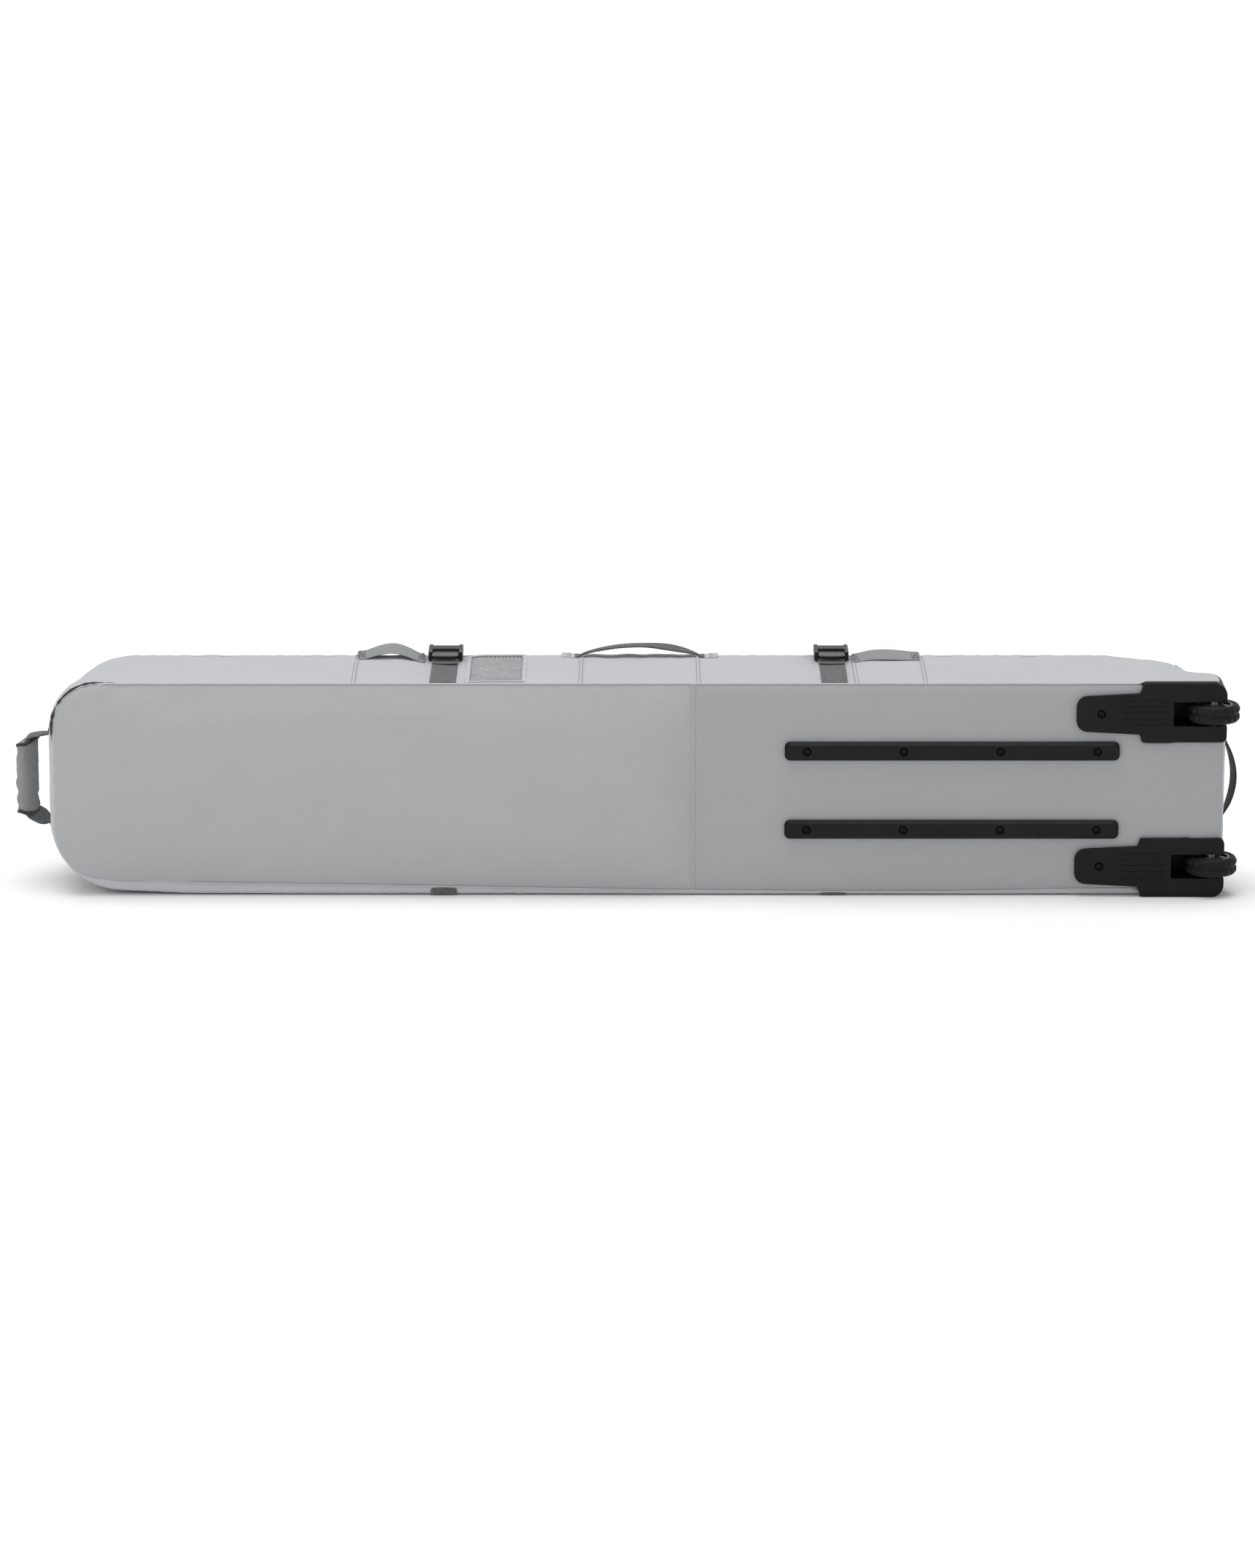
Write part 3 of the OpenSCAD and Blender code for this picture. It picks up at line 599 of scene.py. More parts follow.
def flat_panel(x0, x1, corners0, corners1, depth, inset=0.0, lift=lambda x: 0.0, flip=False, keep=None):
    """Grid between two places with low and high corner radii at each; depth(x, z, edge) gives y."""
    rows = []
    for x in column_x(x0, x1, max(corners0), max(corners1), COLUMN_STEP):
        floor, roof = Z_LOW + inset, Z_HIGH - inset
        lo = floor + corner_cut(x - x0, corners0[0]) + corner_cut(x1 - x, corners1[0]) + lift(x)
        hi = roof - corner_cut(x - x0, corners0[1]) - corner_cut(x1 - x, corners1[1])
        ends = [(gap, corners) for gap, corners in ((x - x0, corners0), (x1 - x, corners1)) if max(corners)]
        row = []
        for t in steps(0, 1, N_ACROSS):
            z = lerp(lo, hi, lerp(t, fade(t), 0.55))
            edge = min([z - lo, hi - z] + [edge_distance(gap, side, r) for gap, corners in ends
                                           for side, r in zip((z - floor, roof - z), corners)])
            row.append(Vector((x, depth(x, z, max(edge, 0)), z)))
        rows.append(row)
    return Panel(rows, flip=flip, keep=keep)


def base_nose_depth(x, z, edge):
    """A soft dome, fullest below its middle, rolled at the edges and drawn in at the cross seam."""
    v = (z - Z_LOW) / (Z_HIGH - Z_LOW)
    dome = 0.009 * math.sin(math.pi * v ** 0.85) * fade((x - X_NOSE) / 0.12)
    seam = 1 - math.exp(-(X_SEAM - x) / 0.024)
    roll = (0.003 + 0.0055 * seam) * (1 - math.exp(-edge / 0.008))
    soft = 0.003 * noise.noise(Vector((x * 4, z * 8, 1.3)))
    soft += 0.0012 * noise.noise(Vector((x * 13, z * 17, 4)))
    pucker = 0.0009 * ripple(x + z, 0.026, 2.0) * math.exp(-edge / 0.012) * fade(edge / 0.004)
    y = Y_BASE + SEAM_BACK - roll + (soft - dome) * fade(edge / 0.04) * seam
    return y + pucker * seam


def base_tail_depth(x, z, edge):
    """Flat over the board, rolled at the edges and drawn in at the cross seam."""
    inward = 1 - math.exp(-edge / 0.007)
    valley = 0.0022 * math.exp(-(x - X_SEAM) / 0.012)
    soft = 0.0008 * noise.noise(Vector((x * 6, z * 8, 7.7))) * fade(edge / 0.03)
    return Y_BASE + SEAM_BACK + (valley - 0.0052) * inward + soft


def make_base():
    """Soft nose half and flat tail half of the base, joined by a folded and stitched cross seam."""
    corners = (R_BASE_LOW - SEAM_IN, R_BASE_HIGH - SEAM_IN)
    nose = flat_panel(X_NOSE + NOSE_SEAM + SEAM_IN, X_SEAM, corners, SQUARE, base_nose_depth, SEAM_IN,
                      seam_lift)
    piece = nose.make("base_nose_cloth", "base", "bag", "base_fabric", ("base_nose_panel",))
    last = nose.n_i - 1
    billow(nose, lambda i, j, p: i in (0, last) or j in (0, N_ACROSS), 1.6, 0.004, 0.005)
    finish_cloth(piece)
    corners = (R_TAIL - SEAM_IN, R_TAIL - SEAM_IN)
    tail = flat_panel(X_SEAM, X_TAIL - SEAM_IN, SQUARE, corners, base_tail_depth, SEAM_IN, seam_lift,
                      keep=lambda p: not in_block(p))
    finish_cloth(tail.make("base_tail_cloth", "tail", "bag", "tail_base_fabric",
                           ("base_tail_panel", "base_board")))
    fold = [p + Vector((0.0002, -0.0004, 0)) for p in tail.rows[0]]
    ribbon("base_cross_seam", band(fold, X_AXIS, 0.010, 0.0006), "tail", "bag", "tail_base_fabric")
    stitches("base_cross_stitches", [[(p + Vector((0.0028, -0.0005, 0)), -Y_AXIS) for p in fold]], "bag",
             "tail_base_fabric")


# ---- side wall ----
# Shares of the depth where the rows of the side wall lie, close together near the two seams.
RING_SHARES = [0, 0.004, 0.011, 0.023, 0.038, 0.056, 0.08, 0.11] + steps(0.15, 0.93, 17) + [0.962, 0.985, 1]
RING_ROWS = len(RING_SHARES) - 1
vent_lo, vent_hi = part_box("mesh_vent")
patch_lo, patch_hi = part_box("carry_handle_patch")


def ring_row(t):
    """Outline at a share of the way from the base seam to the lid seam: square over the wheel housings."""
    nose_x = X_NOSE + NOSE_SEAM * math.exp(-t / 0.035)
    nose_r, low_r = (lerp(r, R_NOSE + 0.014, fade(t)) for r in (R_BASE_HIGH, R_BASE_LOW))
    tail_r = lerp(0.034, R_DECK, fade((t * (Y_LID - Y_BASE) - 0.06) / 0.075))
    return outline(nose_x, X_TAIL, Z_LOW, Z_HIGH, nose_r, tail_r, low_r)


def strap_press(x):
    """1 under a strap, fading to 0 beside it; half pressed under the carry handle's patch."""
    gap = min(max(lo.x - x, x - hi.x, 0) for lo, hi in STRAPS.values())
    patch = 1 - fade(max(patch_lo.x - x, x - patch_hi.x, 0) / 0.04)
    return max(1 - fade((gap - 0.003) / 0.035), 0.5 * patch)


def seam_gather(out, x):
    """How strongly the cloth is gathered at the nose's upper corner."""
    return max(out.z - out.x, 0) ** 4 / 4 if x < X_NOSE + 0.15 and out.x < 0 else 0


def wall_push(t, s, x, z, out, depth):
    """How far the cloth stands out of its outline: a bulge, gathers, puckers and loose waves."""
    edge = min(t, 1 - t) * depth
    slack = 1 - strap_press(x)
    bulge = BULGE * slack * (1 + 0.8 * min(out.x, 0)) if out.z > -0.2 else 0.001
    gather = seam_gather(out, x) * math.exp(-t * depth / 0.010)
    push = bulge - (bulge + SEAM_IN) * math.exp(-edge / 0.006)
    push -= gather * (0.009 + 0.006 * ripple(s, 0.021, 3.0))
    push += 0.0011 * ripple(s, 0.027, 5.0) * math.exp(-t * depth / 0.014) * fade(edge / 0.006)
    push += 0.0007 * ripple(s, 0.034, 9.0) * math.exp(-(1 - t) * depth / 0.016)
    loose = slack * (1 + 0.6 * min(out.x, 0))
    push += 0.0036 * noise.noise(Vector((x * 4.5, t * 1.7, z * 5))) * fade(edge / 0.03) * loose
    push += 0.0014 * noise.noise(Vector((x * 13, t * 5, z * 11))) * fade(edge / 0.02) * loose
    return push


def make_ring():
    """The whole side wall as one band of cloth, sewn to the base and to the lid border."""
    count = len(ring_row(0))
    rows = [[] for _ in range(count)]
    for t in RING_SHARES:
        points = ring_row(t)
        for i, (x, z) in enumerate(points):
            before, after = points[i - 1], points[(i + 1) % count]
            along = Vector((after[0] - before[0], 0, after[1] - before[1])).normalized()
            out = Vector((along.z, 0, -along.x))
            depth = top_y(x) - Y_BASE - SEAM_BACK
            push = wall_push(t, i * COLUMN_STEP, x, z, out, depth)
            p = Vector((x, Y_BASE + SEAM_BACK + t * depth, z)) + out * push
            if out.z < -0.2:
                q = min(t * depth / ROLL, 1)
                p.y -= 0.003 * math.sin(math.pi * q)
                p.z += seam_lift(x) * under_roll(q) + nose_gap(x)
            if x > BLOCK_X - 0.004 and out.z > 0.7 and p.y < block_hi.y + 0.008:
                p.z = max(p.z, block_hi.z + 0.0012)
            p.z = max(p.z, 0.001)
            rows[i].append(p)
    return Panel(rows, closed=True, flip=True, keep=keep_ring)


def under_roll(q):
    """Share of the seam's lift left at a share of the way round the lower edge."""
    return 1 - (1 - (1 - q) ** 3) ** (1 / 3)


def keep_ring(p):
    """False in the openings for the wheel housings and the vent."""
    if in_block(p) and p.z < Z_HIGH - 0.008:
        return False
    in_vent = vent_lo.x + 0.004 < p.x < vent_hi.x - 0.004 and vent_lo.y + 0.004 < p.y < vent_hi.y - 0.004
    return not (in_vent and p.z > Z_MID)


def near_strap(p, margin=0.004):
    """True under either compression strap."""
    return any(lo.x - margin < p.x < hi.x + margin for lo, hi in STRAPS.values())


def ring_held(i, j, p):
    """True at the seams, on the floor, round the openings and under the straps."""
    if j in (0, RING_ROWS) or p.z < 0.02 or p.x > X_TAIL - 0.012:
        return True
    if near_strap(p) or in_block(p, -0.012) or p.y < Y_BASE + 0.03:
        return True
    return vent_lo.x - 0.008 < p.x < vent_hi.x + 0.008 and p.z > Z_MID


def top_index(ring, x, row):
    """Column of the ring on its upper long side at x."""
    right, left = ring.at(N_ARC, row).x, ring.at(N_ARC + N_LONG, row).x
    return N_ARC + (right - x) / (right - left) * N_LONG


def on_top(x, y):
    """Height of the side wall's cloth on the upper long side."""
    j = 0
    while j < RING_ROWS - 1 and ring.at(top_index(ring, x, j + 1), j + 1).y < y:
        j += 1
    a, b = ring.at(top_index(ring, x, j), j), ring.at(top_index(ring, x, j + 1), j + 1)
    return lerp(a.z, b.z, min(max((y - a.y) / max(b.y - a.y, 1e-6), 0), 1))


# Places of the cross seams on the upper side, beside the tabs, the straps and the carry handle.
CROSS_SEAMS = (-0.3935, -0.0655, 0.105, 0.3335, 0.4325)


def make_body_seams(ring):
    """Welts along both edge seams, a dark cord of painted shade in the nose's upper corner, and cross seams
    with their stitching on the upper gusset.
    """
    count = ring.n_i
    welts = (("base_welt", 0, -0.0004, 0.0012, ("base_piping",)),
             ("lid_welt", RING_ROWS, 0.0004, 0.0017, ()))
    for name, j, y_shift, radius, replaced in welts:
        path = [row[j] + Y_AXIS * y_shift for row in ring.rows]
        shown = [j or (p.x < X_TAIL - 0.004 and (p.z > Z_HIGH - 0.006 or not in_block(p, -0.001)))
                 for p in path]
        start = next((i for i in range(count) if shown[i] and not shown[i - 1]), 0)
        keep = [path[(start + k) % count] for k in range(count) if shown[(start + k) % count]]
        tube(name, keep, radius, "side", "bag", "side_fabric", closed=(j != 0),
             replaced=replaced, swell=lambda t: 1 + 0.12 * noise.noise(Vector((t * 160, 0, 0))))
    # A thin dark cord along the nose's upper corner seam: painted shade that stands in for the shadowed
    # crevice where the side wall gathers.
    edge = ring_row(0)[N_ARC + N_LONG - 3:count // 2]
    corner = [Vector((x - 0.0012, Y_BASE + SEAM_BACK + 0.0002, z + 0.001))
              for x, z in edge if z > Z_MID + 0.06]
    tube("nose_corner_gather", resample(corner, 0.0025), 0.0017, "dark", "bag", "side_fabric",
         swell=lambda t: (0.15 + fade(t / 0.3) * fade((1 - t) / 0.2))
         * (0.7 + 1.1 * noise.noise(Vector((t * 17, 3.3, 0)))))
    runs = []
    for index, x in enumerate(CROSS_SEAMS, 1):
        stations = []
        for j in steps(0.3, RING_ROWS - 0.3, 32):
            i = top_index(ring, x, j)
            normal = ring.normal(i, j)
            stations.append((ring.at(i, j) + normal * 0.0003, X_AXIS, normal, 0.0065, 0.0009))
        ribbon("cross_seam_%d" % index, stations, "side", "bag", "side_fabric")
        for shift in (-0.0022, 0.0022):
            runs.append([(c + X_AXIS * shift + n * 0.0009, n) for c, _, n, _, _ in stations])
    stitches("cross_seam_stitches", runs, "bag", "side_fabric")


def make_tail_edge(ring):
    """Short dark bindings where the lid seam runs down over the tail."""
    for count, (far, near) in enumerate(((0.068, 0.046), (0.022, 0.004)), 1):
        path = [row[RING_ROWS] + Vector((0, 0.0002, 0.0005)) for row in ring.rows
                if X_TAIL - far < row[RING_ROWS].x < X_TAIL - near and row[RING_ROWS].z > Z_MID]
        path.sort(key=lambda p: p.x)
        tube("tail_edge_binding_%d" % count, resample(path, 0.003), 0.0023, "dark", "bag", "webbing")


def make_tail_deck():
    """Fixed cloth that slopes down over the wheels."""
    def depth(x, z, edge):
        puff = 0.0016 * (1 - math.exp(-edge / 0.01))
        soft = 0.0008 * noise.noise(Vector((x * 10, z * 9, 3.1))) * fade(edge / 0.03)
        return top_y(x) - 0.001 + puff + soft
    panel = flat_panel(X_TAPER - 0.001, X_TAIL, SQUARE, (R_DECK, R_DECK), depth, flip=True)
    finish_cloth(panel.make("tail_deck_cloth", "side", "bag", "side_fabric", ("tail_deck",)))


# ---- lid, its border and the zip ----
BORDER, SLOT, HINGE_GAP = 0.022, 0.0034, 0.0003
OPEN_X = (X_NOSE + BORDER, lid_hi.x + SLOT)
OPEN_Z = (lid_lo.z - HINGE_GAP, lid_hi.z + SLOT)
R_OPEN, R_LID_TAIL = R_NOSE - BORDER, 0.020


def lid_outline(inset):
    """The opening's outline moved in towards the lid, but hardly at the hinge side."""
    low = min(max(inset, 0), HINGE_GAP)
    return outline(OPEN_X[0] + inset, OPEN_X[1] - inset, OPEN_Z[0] + low, OPEN_Z[1] - inset, R_OPEN - inset,
                   max(R_LID_TAIL - inset, 0.001))


def make_border():
    """Ring of cloth between the edge seam and the zip, with a square end at the tail deck."""
    outer = outline(X_NOSE + 0.001, X_TAPER, Z_LOW + 0.001, Z_HIGH - 0.001, R_NOSE + 0.012, 0.002)
    inner = lid_outline(0.0)
    rows = []
    for a, b in zip(outer, inner):
        rows.append([Vector((lerp(a[0], b[0], t), Y_LID - 0.001 + 0.0012 * math.sin(math.pi * t),
                             lerp(a[1], b[1], t))) for t in steps(0, 1, 5)])
    panel = Panel(rows, closed=True)
    piece = panel.make("lid_border_cloth", "side", "bag", "side_fabric", ("lid_frame",))
    if sum(face.normal.y for face in piece.data.polygons) < 0:
        piece.data.flip_normals()
    finish_cloth(piece)


def lid_depth(x, z, edge):
    """A shallow pillow with puckers along its seam."""
    puff = 0.005 * (1 - math.exp(-edge / 0.018))
    soft = 0.0016 * noise.noise(Vector((x * 5, z * 8, 4.4))) * fade(edge / 0.04)
    pucker = 0.0006 * ripple(x + z, 0.03, 6.0) * math.exp(-edge / 0.012)
    return Y_LID - 0.0012 + puff + soft + pucker


def make_lid():
    """Padded lid cloth, held flat where the straps cross it."""
    x0, x1 = OPEN_X[0] + SLOT, OPEN_X[1] - SLOT
    z0, z1 = OPEN_Z[0] + HINGE_GAP, OPEN_Z[1] - SLOT
    r0, r1 = R_OPEN - SLOT, R_LID_TAIL - SLOT
    rows = []
    for x in column_x(x0, x1, r0, r1, COLUMN_STEP):
        cut = corner_cut(x - x0, r0) + corner_cut(x1 - x, r1)
        row = []
        for t in steps(0, 1, N_ACROSS):
            z = lerp(z0 + cut, z1 - cut, lerp(t, fade(t), 0.5))
            edge = max(min(x - x0, x1 - x, z - z0 - cut * 0.6, z1 - cut * 0.6 - z), 0)
            under_strap = near_strap(Vector((x, 0, z)), 0.006)
            y = Y_LID - 0.0012 if under_strap else lid_depth(x, z, edge)
            row.append(Vector((x, y, z)))
        rows.append(row)
    panel = Panel(rows, flip=True)
    piece = panel.make("lid_cloth", "side", "lid", "side_fabric", ("lid_panel",))
    last = panel.n_i - 1
    billow(panel, lambda i, j, p: i in (0, last) or j in (0, N_ACROSS) or near_strap(p, 0.006), 1.6, 0.004,
           0.005)
    finish_cloth(piece)


def zip_half(name, inset, tape_to, body, node):
    """Coil teeth in a row on the edge of a woven tape."""
    edge, far = lid_outline(inset), lid_outline(tape_to)
    used = [k for k in range(len(edge)) if edge[k][1] > OPEN_Z[0] + 0.02]
    first = next(k for k in used if (k - 1) % len(edge) not in used)
    order = [(first + k) % len(edge) for k in range(len(used))]
    y_tape = Y_LID - SKIN - 0.0006
    stations = []
    for k in order:
        a, b = (Vector((line[k][0], y_tape, line[k][1])) for line in (edge, far))
        stations.append(((a + b) / 2, (b - a).normalized(), Y_AXIS, (b - a).length, 0.0009))
    ribbon(name + "_tape", stations, "tape", body, "zip", (node,), smooth=False)
    sign = 1 if tape_to > inset else -1
    path = resample([Vector((edge[k][0], Y_LID - 0.0006, edge[k][1])) for k in order], 0.0032)
    rings = [(place * 0.95, share) for place, share in
             ((-0.0011, 0.55), (-0.0005, 1), (0.0005, 1), (0.0011, 0.55))]
    verts, faces = [], []
    for k, p in enumerate(path[1:-1]):
        along = (path[k + 2] - path[k]).normalized()
        inward = along.cross(Y_AXIS)
        towards = inward if inward.dot(far_side(p)) * sign > 0 else -inward
        add_bead(verts, faces, p + towards * 0.0004, along, towards * 0.0009, Y_AXIS * 0.0013, rings)
    new_solid(name + "_teeth", verts, faces, "coil", body, "zip")


def far_side(p):
    """Direction from a point on the zip towards the middle of the lid."""
    x = min(max(p.x, OPEN_X[0] + 0.1), OPEN_X[1] - 0.05)
    return Vector((x - p.x, 0, Z_MID - p.z)).normalized()


def pad_span(lo, hi, radius):
    """Lower and upper z of a pad with rounded nose corners."""
    def span(x):
        cut = corner_cut(x - lo.x, radius)
        return lo.z + cut, hi.z - cut
    return span


def between_housings(lo, hi, radius):
    """The same, narrowed where the wheel housings stand."""
    whole = pad_span(lo, hi, radius)
    notch = Z_HIGH - BLOCK_Z + 0.014
    return lambda x: whole(x) if x < BLOCK_X - 0.012 else (Z_LOW + notch, Z_HIGH - notch)


def quilted(name, lo, hi, face, span, body, slot, node, cell=0.11):
    """Thin pad with sewn channels; face is the sign of Y on the side that is seen."""
    nx, nz = int((hi.x - lo.x) / 0.0075), max(int((hi.z - lo.z) / 0.009), 2)
    y_mid, half = (lo.y + hi.y) / 2, (hi.y - lo.y) / 2

    def off_channel(along):
        """Distance from the nearest sewn channel."""
        return abs((along / cell + 0.5) % 1 - 0.5) * cell

    def thickness(x, z, low, high):
        """Share of the full thickness, drawn in at the channels and at the edge."""
        gap = min(off_channel(x - lo.x), off_channel(z - Z_MID))
        edge = min(x - lo.x, hi.x - x, z - low, high - z)
        pull, reach = 0.75, 0.006
        return (1 - pull * math.exp(-gap / reach)) * (1 - pull * math.exp(-edge / reach))
    verts, faces = [], []
    for side in (1, -1):
        for x in steps(lo.x, hi.x, nx):
            low, high = span(x)
            for z in steps(low, high, nz):
                plump = thickness(x, z, low, high) if side > 0 else 0.95
                verts.append(Vector((x, y_mid + face * side * half * plump, z)))

    def index(g, i, j):
        return (g * (nx + 1) + i) * (nz + 1) + j
    for i in range(nx):
        for j in range(nz):
            faces.append([index(0, i, j), index(0, i, j + 1), index(0, i + 1, j + 1), index(0, i + 1, j)])
            faces.append([index(1, i, j), index(1, i + 1, j), index(1, i + 1, j + 1), index(1, i, j + 1)])
    rim = ([(i, 0) for i in range(nx)] + [(nx, j) for j in range(nz)] + [(i, nz) for i in range(nx, 0, -1)]
           + [(0, j) for j in range(nz, 0, -1)])
    for (i, j), (k, l) in zip(rim, rim[1:] + rim[:1]):
        faces.append([index(0, i, j), index(0, k, l), index(1, k, l), index(1, i, j)])
    piece = new_solid(name, verts, faces, "lining", body, slot, (node,))
    smoothed(piece)


# ---- straps and handles ----
FINE_STITCH = {"pitch": 0.0034, "length": 0.0026}
FOOT = 0.004


def box_stitch(centre, along, across, normal, length, width):
    """Square of stitches with a cross in it."""
    u, v = along * (length / 2), across * (width / 2)
    corners = [centre - u - v, centre + u - v, centre + u + v, centre - u + v]
    loop = [(p, normal) for p in corners + corners[:1]]
    return [loop, [(corners[0], normal), (corners[2], normal)], [(corners[1], normal), (corners[3], normal)]]


def arc(middle, r, start, stop, step):
    """Points round a bar that lies along X."""
    return [middle + Vector((0, r * math.cos(math.radians(d)), r * math.sin(math.radians(d))))
            for d in range(start, stop, step)]


def make_straps(end):
    """The four parts of a compression strap, its stitches and its buckle."""
    lo, hi = STRAPS[end]
    x, width = (lo.x + hi.x) / 2, hi.x - lo.x
    z = Z_HIGH + WEB_T / 2 + 0.0006
    path = [Vector((x, Y_BASE + 0.0035, Z_HIGH - 0.0035)), Vector((x, Y_BASE + 0.006, Z_HIGH - 0.0005)),
            Vector((x, Y_BASE + 0.012, z)), Vector((x, hi.y, z))]
    path = resample(rounded(path, 0.01), 0.006)
    ribbon(end + "_strap_top", band(path, X_AXIS, width, WEB_T, wobble=0.0006), "web", "bag", "webbing",
           (end + "_strap_upper",))
    low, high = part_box(end + "_strap_lower")
    path = []
    for q in steps(0, 1, 8):
        y = Y_BASE + SEAM_BACK + ROLL * q - 0.003 * math.sin(math.pi * q) - 0.0012
        path.append(Vector((x, y, Z_LOW + seam_lift(x) * under_roll(q) - 0.001)))
    fold_z = OPEN_Z[0]
    back_y = high.y - 0.001
    path += rounded([path.pop(), Vector((x, back_y, 0.001)), Vector((x, back_y, fold_z))], 0.004)
    path = resample(path, 0.004)
    for p in path:
        p.z = max(p.z, 0.001)
    ribbon(end + "_strap_bottom", band(path, X_AXIS, width, 0.0018), "web", "bag", "webbing",
           (end + "_strap_lower",))
    low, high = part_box(end + "_strap_lid")
    bar = Vector((x, high.y - 0.0056, high.z - 0.0035))
    path = [Vector((x, Y_LID + 0.0012, fold_z + 0.002)), Vector((x, Y_LID + 0.0012, 0.18)),
            Vector((x, high.y - 0.001, high.z - 0.007))]
    path = resample(rounded(path, 0.03), 0.008)
    path += arc(bar, 0.0037, 0, 181, 30)
    path.append(bar + Vector((0, -0.0035, -0.004)))
    ribbon(end + "_strap_on_lid", band(path, X_AXIS, width, 0.0015), "web", "lid", "webbing",
           (end + "_strap_lid",))
    low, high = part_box(end + "_strap_end")
    r = (high.z - low.z) / 2 - WEB_T / 2
    middle = Vector((x, high.y - (high.z - low.z) / 2, (high.z + low.z) / 2))
    path = [Vector((x, y, middle.z - r)) for y in steps(low.y, middle.y, 6)[:-1]]
    path += arc(middle, r, -90, 91, 20)
    tail = [(0.010, 0.0), (0.018, 0.0008), (0.025, 0.0002), (0.027, -0.0006)]
    path += [middle + Vector((0, -dy, r + dz)) for dy, dz in tail]
    ribbon(end + "_strap_loop", band(path, X_AXIS, width, WEB_T), "web", end + "_clip", "webbing",
           (end + "_strap_end",))
    runs = [[(Vector((x + share * width, y, z + 0.0012)), Z_AXIS)
             for y in steps(Y_BASE + 0.014, Y_BASE + 0.032, 3)] for share in (-0.36, 0.36)]
    stitches(end + "_strap_stitches", runs, "bag", "webbing", "dark_thread")
    polish(end + "_buckle_socket", "plastic", 0.0012)
    polish(end + "_buckle_clip", "plastic", 0.001)


def make_carry_handle():
    """An arched strap, narrow at its feet and twisted a little towards the tail."""
    lo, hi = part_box("carry_handle")
    y = (lo.y + hi.y) / 2
    foot_z = lo.z + FOOT
    peak = hi.z - foot_z - WEB_T
    n = 40
    path = [Vector((lerp(lo.x - 0.003, hi.x + 0.003, t), y,
                    foot_z - 0.001 + peak * max(math.sin(math.pi * t), 0) ** 0.72)) for t in steps(0, 1, n)]
    out = []
    for k, p in enumerate(path):
        t = k / n
        along = (path[min(k + 1, n)] - path[max(k - 1, 0)]).normalized()
        twist = math.radians(18) * fade((t - 0.5) / 0.3) * fade((1 - t) / 0.15)
        across = Matrix.Rotation(twist, 3, along) @ Y_AXIS
        width = min(0.006 + 1.05 * max(p.z - foot_z, 0), 0.024)
        out.append((p, across, along.cross(across).normalized(), width, 0.0028))
    ribbon("carry_handle_webbing", out, "web", "carry_grip", "webbing", ("carry_handle",))
    runs = [[(c + across * (w * shift) - normal * 0.0016, -normal) for c, across, normal, w, _ in out[6:-6]]
            for shift in (-0.4, 0.4)]
    stitches("carry_handle_stitches", runs, "carry_grip", "webbing", "dark_thread")
    make_carry_feet(lo, hi, y, foot_z)
    path = []
    y = (patch_lo.y + patch_hi.y) / 2
    for k, x in enumerate(steps(patch_lo.x, patch_hi.x, 20)):
        path.append(Vector((x, y, on_top(x, y) + 0.0008 + 0.0003 * math.sin(k))))
    ribbon("carry_patch_webbing", band(path, Y_AXIS, patch_hi.y - patch_lo.y, 0.0012), "tab", "bag",
           "tab_webbing", ("carry_handle_patch",))


def make_carry_feet(lo, hi, y, foot_z):
    """Webbing feet that widen on to the gusset, each under a stitched cover of cloth."""
    lo_a, hi_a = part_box("carry_handle_anchors")
    runs, feet = [], []
    for side, letter, edge, far in ((-1, "a", lo.x - 0.0006, lo_a.x), (1, "b", hi.x + 0.0006, hi_a.x)):
        flat = on_top((edge + far) / 2, y) + 0.0012
        corners = ((-0.002, foot_z), (0.003, foot_z - 0.0005), (0.010, flat - 0.0002), (0.018, flat - 0.0004))
        path = [Vector((edge + side * away, y, z)) for away, z in corners]
        path = resample(rounded(path, 0.004), 0.0025)
        feet.append(band(path, Y_AXIS, 0.025, 0.002, lambda t: lerp(0.38, 1, fade(t / 0.5))))
        cover = [Vector((x, y - 0.004, max(on_top(x, y - 0.015), on_top(x, y)) + 0.0009))
                 for x in steps(edge + side * 0.009, far, 8)]
        ribbon("carry_cover_" + letter, band(cover, Y_AXIS, 0.03, 0.001), "side", "bag", "side_fabric")
        runs += box_stitch(cover[5] + Z_AXIS * 0.0006, X_AXIS, Y_AXIS, Z_AXIS, 0.011, 0.022)
    ribbon("carry_handle_feet", feet, "web", "bag", "webbing", ("carry_handle_anchors",))
    stitches("carry_foot_stitches", runs, "bag", "webbing", **FINE_STITCH)


def make_tab_handle(end):
    """A wide soft strap, sewn down at both ends and arched between them."""
    lo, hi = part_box(end + "_tab_handle")
    width = 0.054
    y = hi.y - width / 2
    rise = hi.z - lo.z - WEB_T
    flat = 0.1
    path = []
    for t in steps(0, 1, 30):
        x = lerp(lo.x, hi.x, t)
        up = math.sin(math.pi * (t - flat) / (1 - 2 * flat)) ** 1.3 if flat < t < 1 - flat else 0
        cloth = max(on_top(x, y + width * share) for share in (-0.4, 0, 0.4))
        path.append(Vector((x, y, cloth + WEB_T / 2 + 0.0006 + rise * up)))
    stations = []
    for k, (c, across, normal, w, thick) in enumerate(band(path, Y_AXIS, width, WEB_T)):
        droop = Matrix.Rotation(math.radians(4) * math.sin(math.pi * k / 30), 3, "X")
        stations.append((c, droop @ across, droop @ normal, w, thick))
    ribbon(end + "_tab_webbing", stations, "tab", "bag", "tab_webbing", (end + "_tab_handle",))
    runs = []
    for side in (0.075, 0.925):
        x = lerp(lo.x, hi.x, side)
        centre = Vector((x, y, on_top(x, y) + WEB_T + 0.0014))
        runs += box_stitch(centre, X_AXIS, Y_AXIS, Z_AXIS, 0.009, width * 0.78)
    stitches(end + "_tab_stitches", runs, "bag", "tab_webbing", "dark_thread", **FINE_STITCH)


def end_taper(narrow, reach):
    """Width along a handle, gathered to a share of it at both ends."""
    return lambda t: lerp(narrow, 1, fade(min(t, 1 - t) / reach))


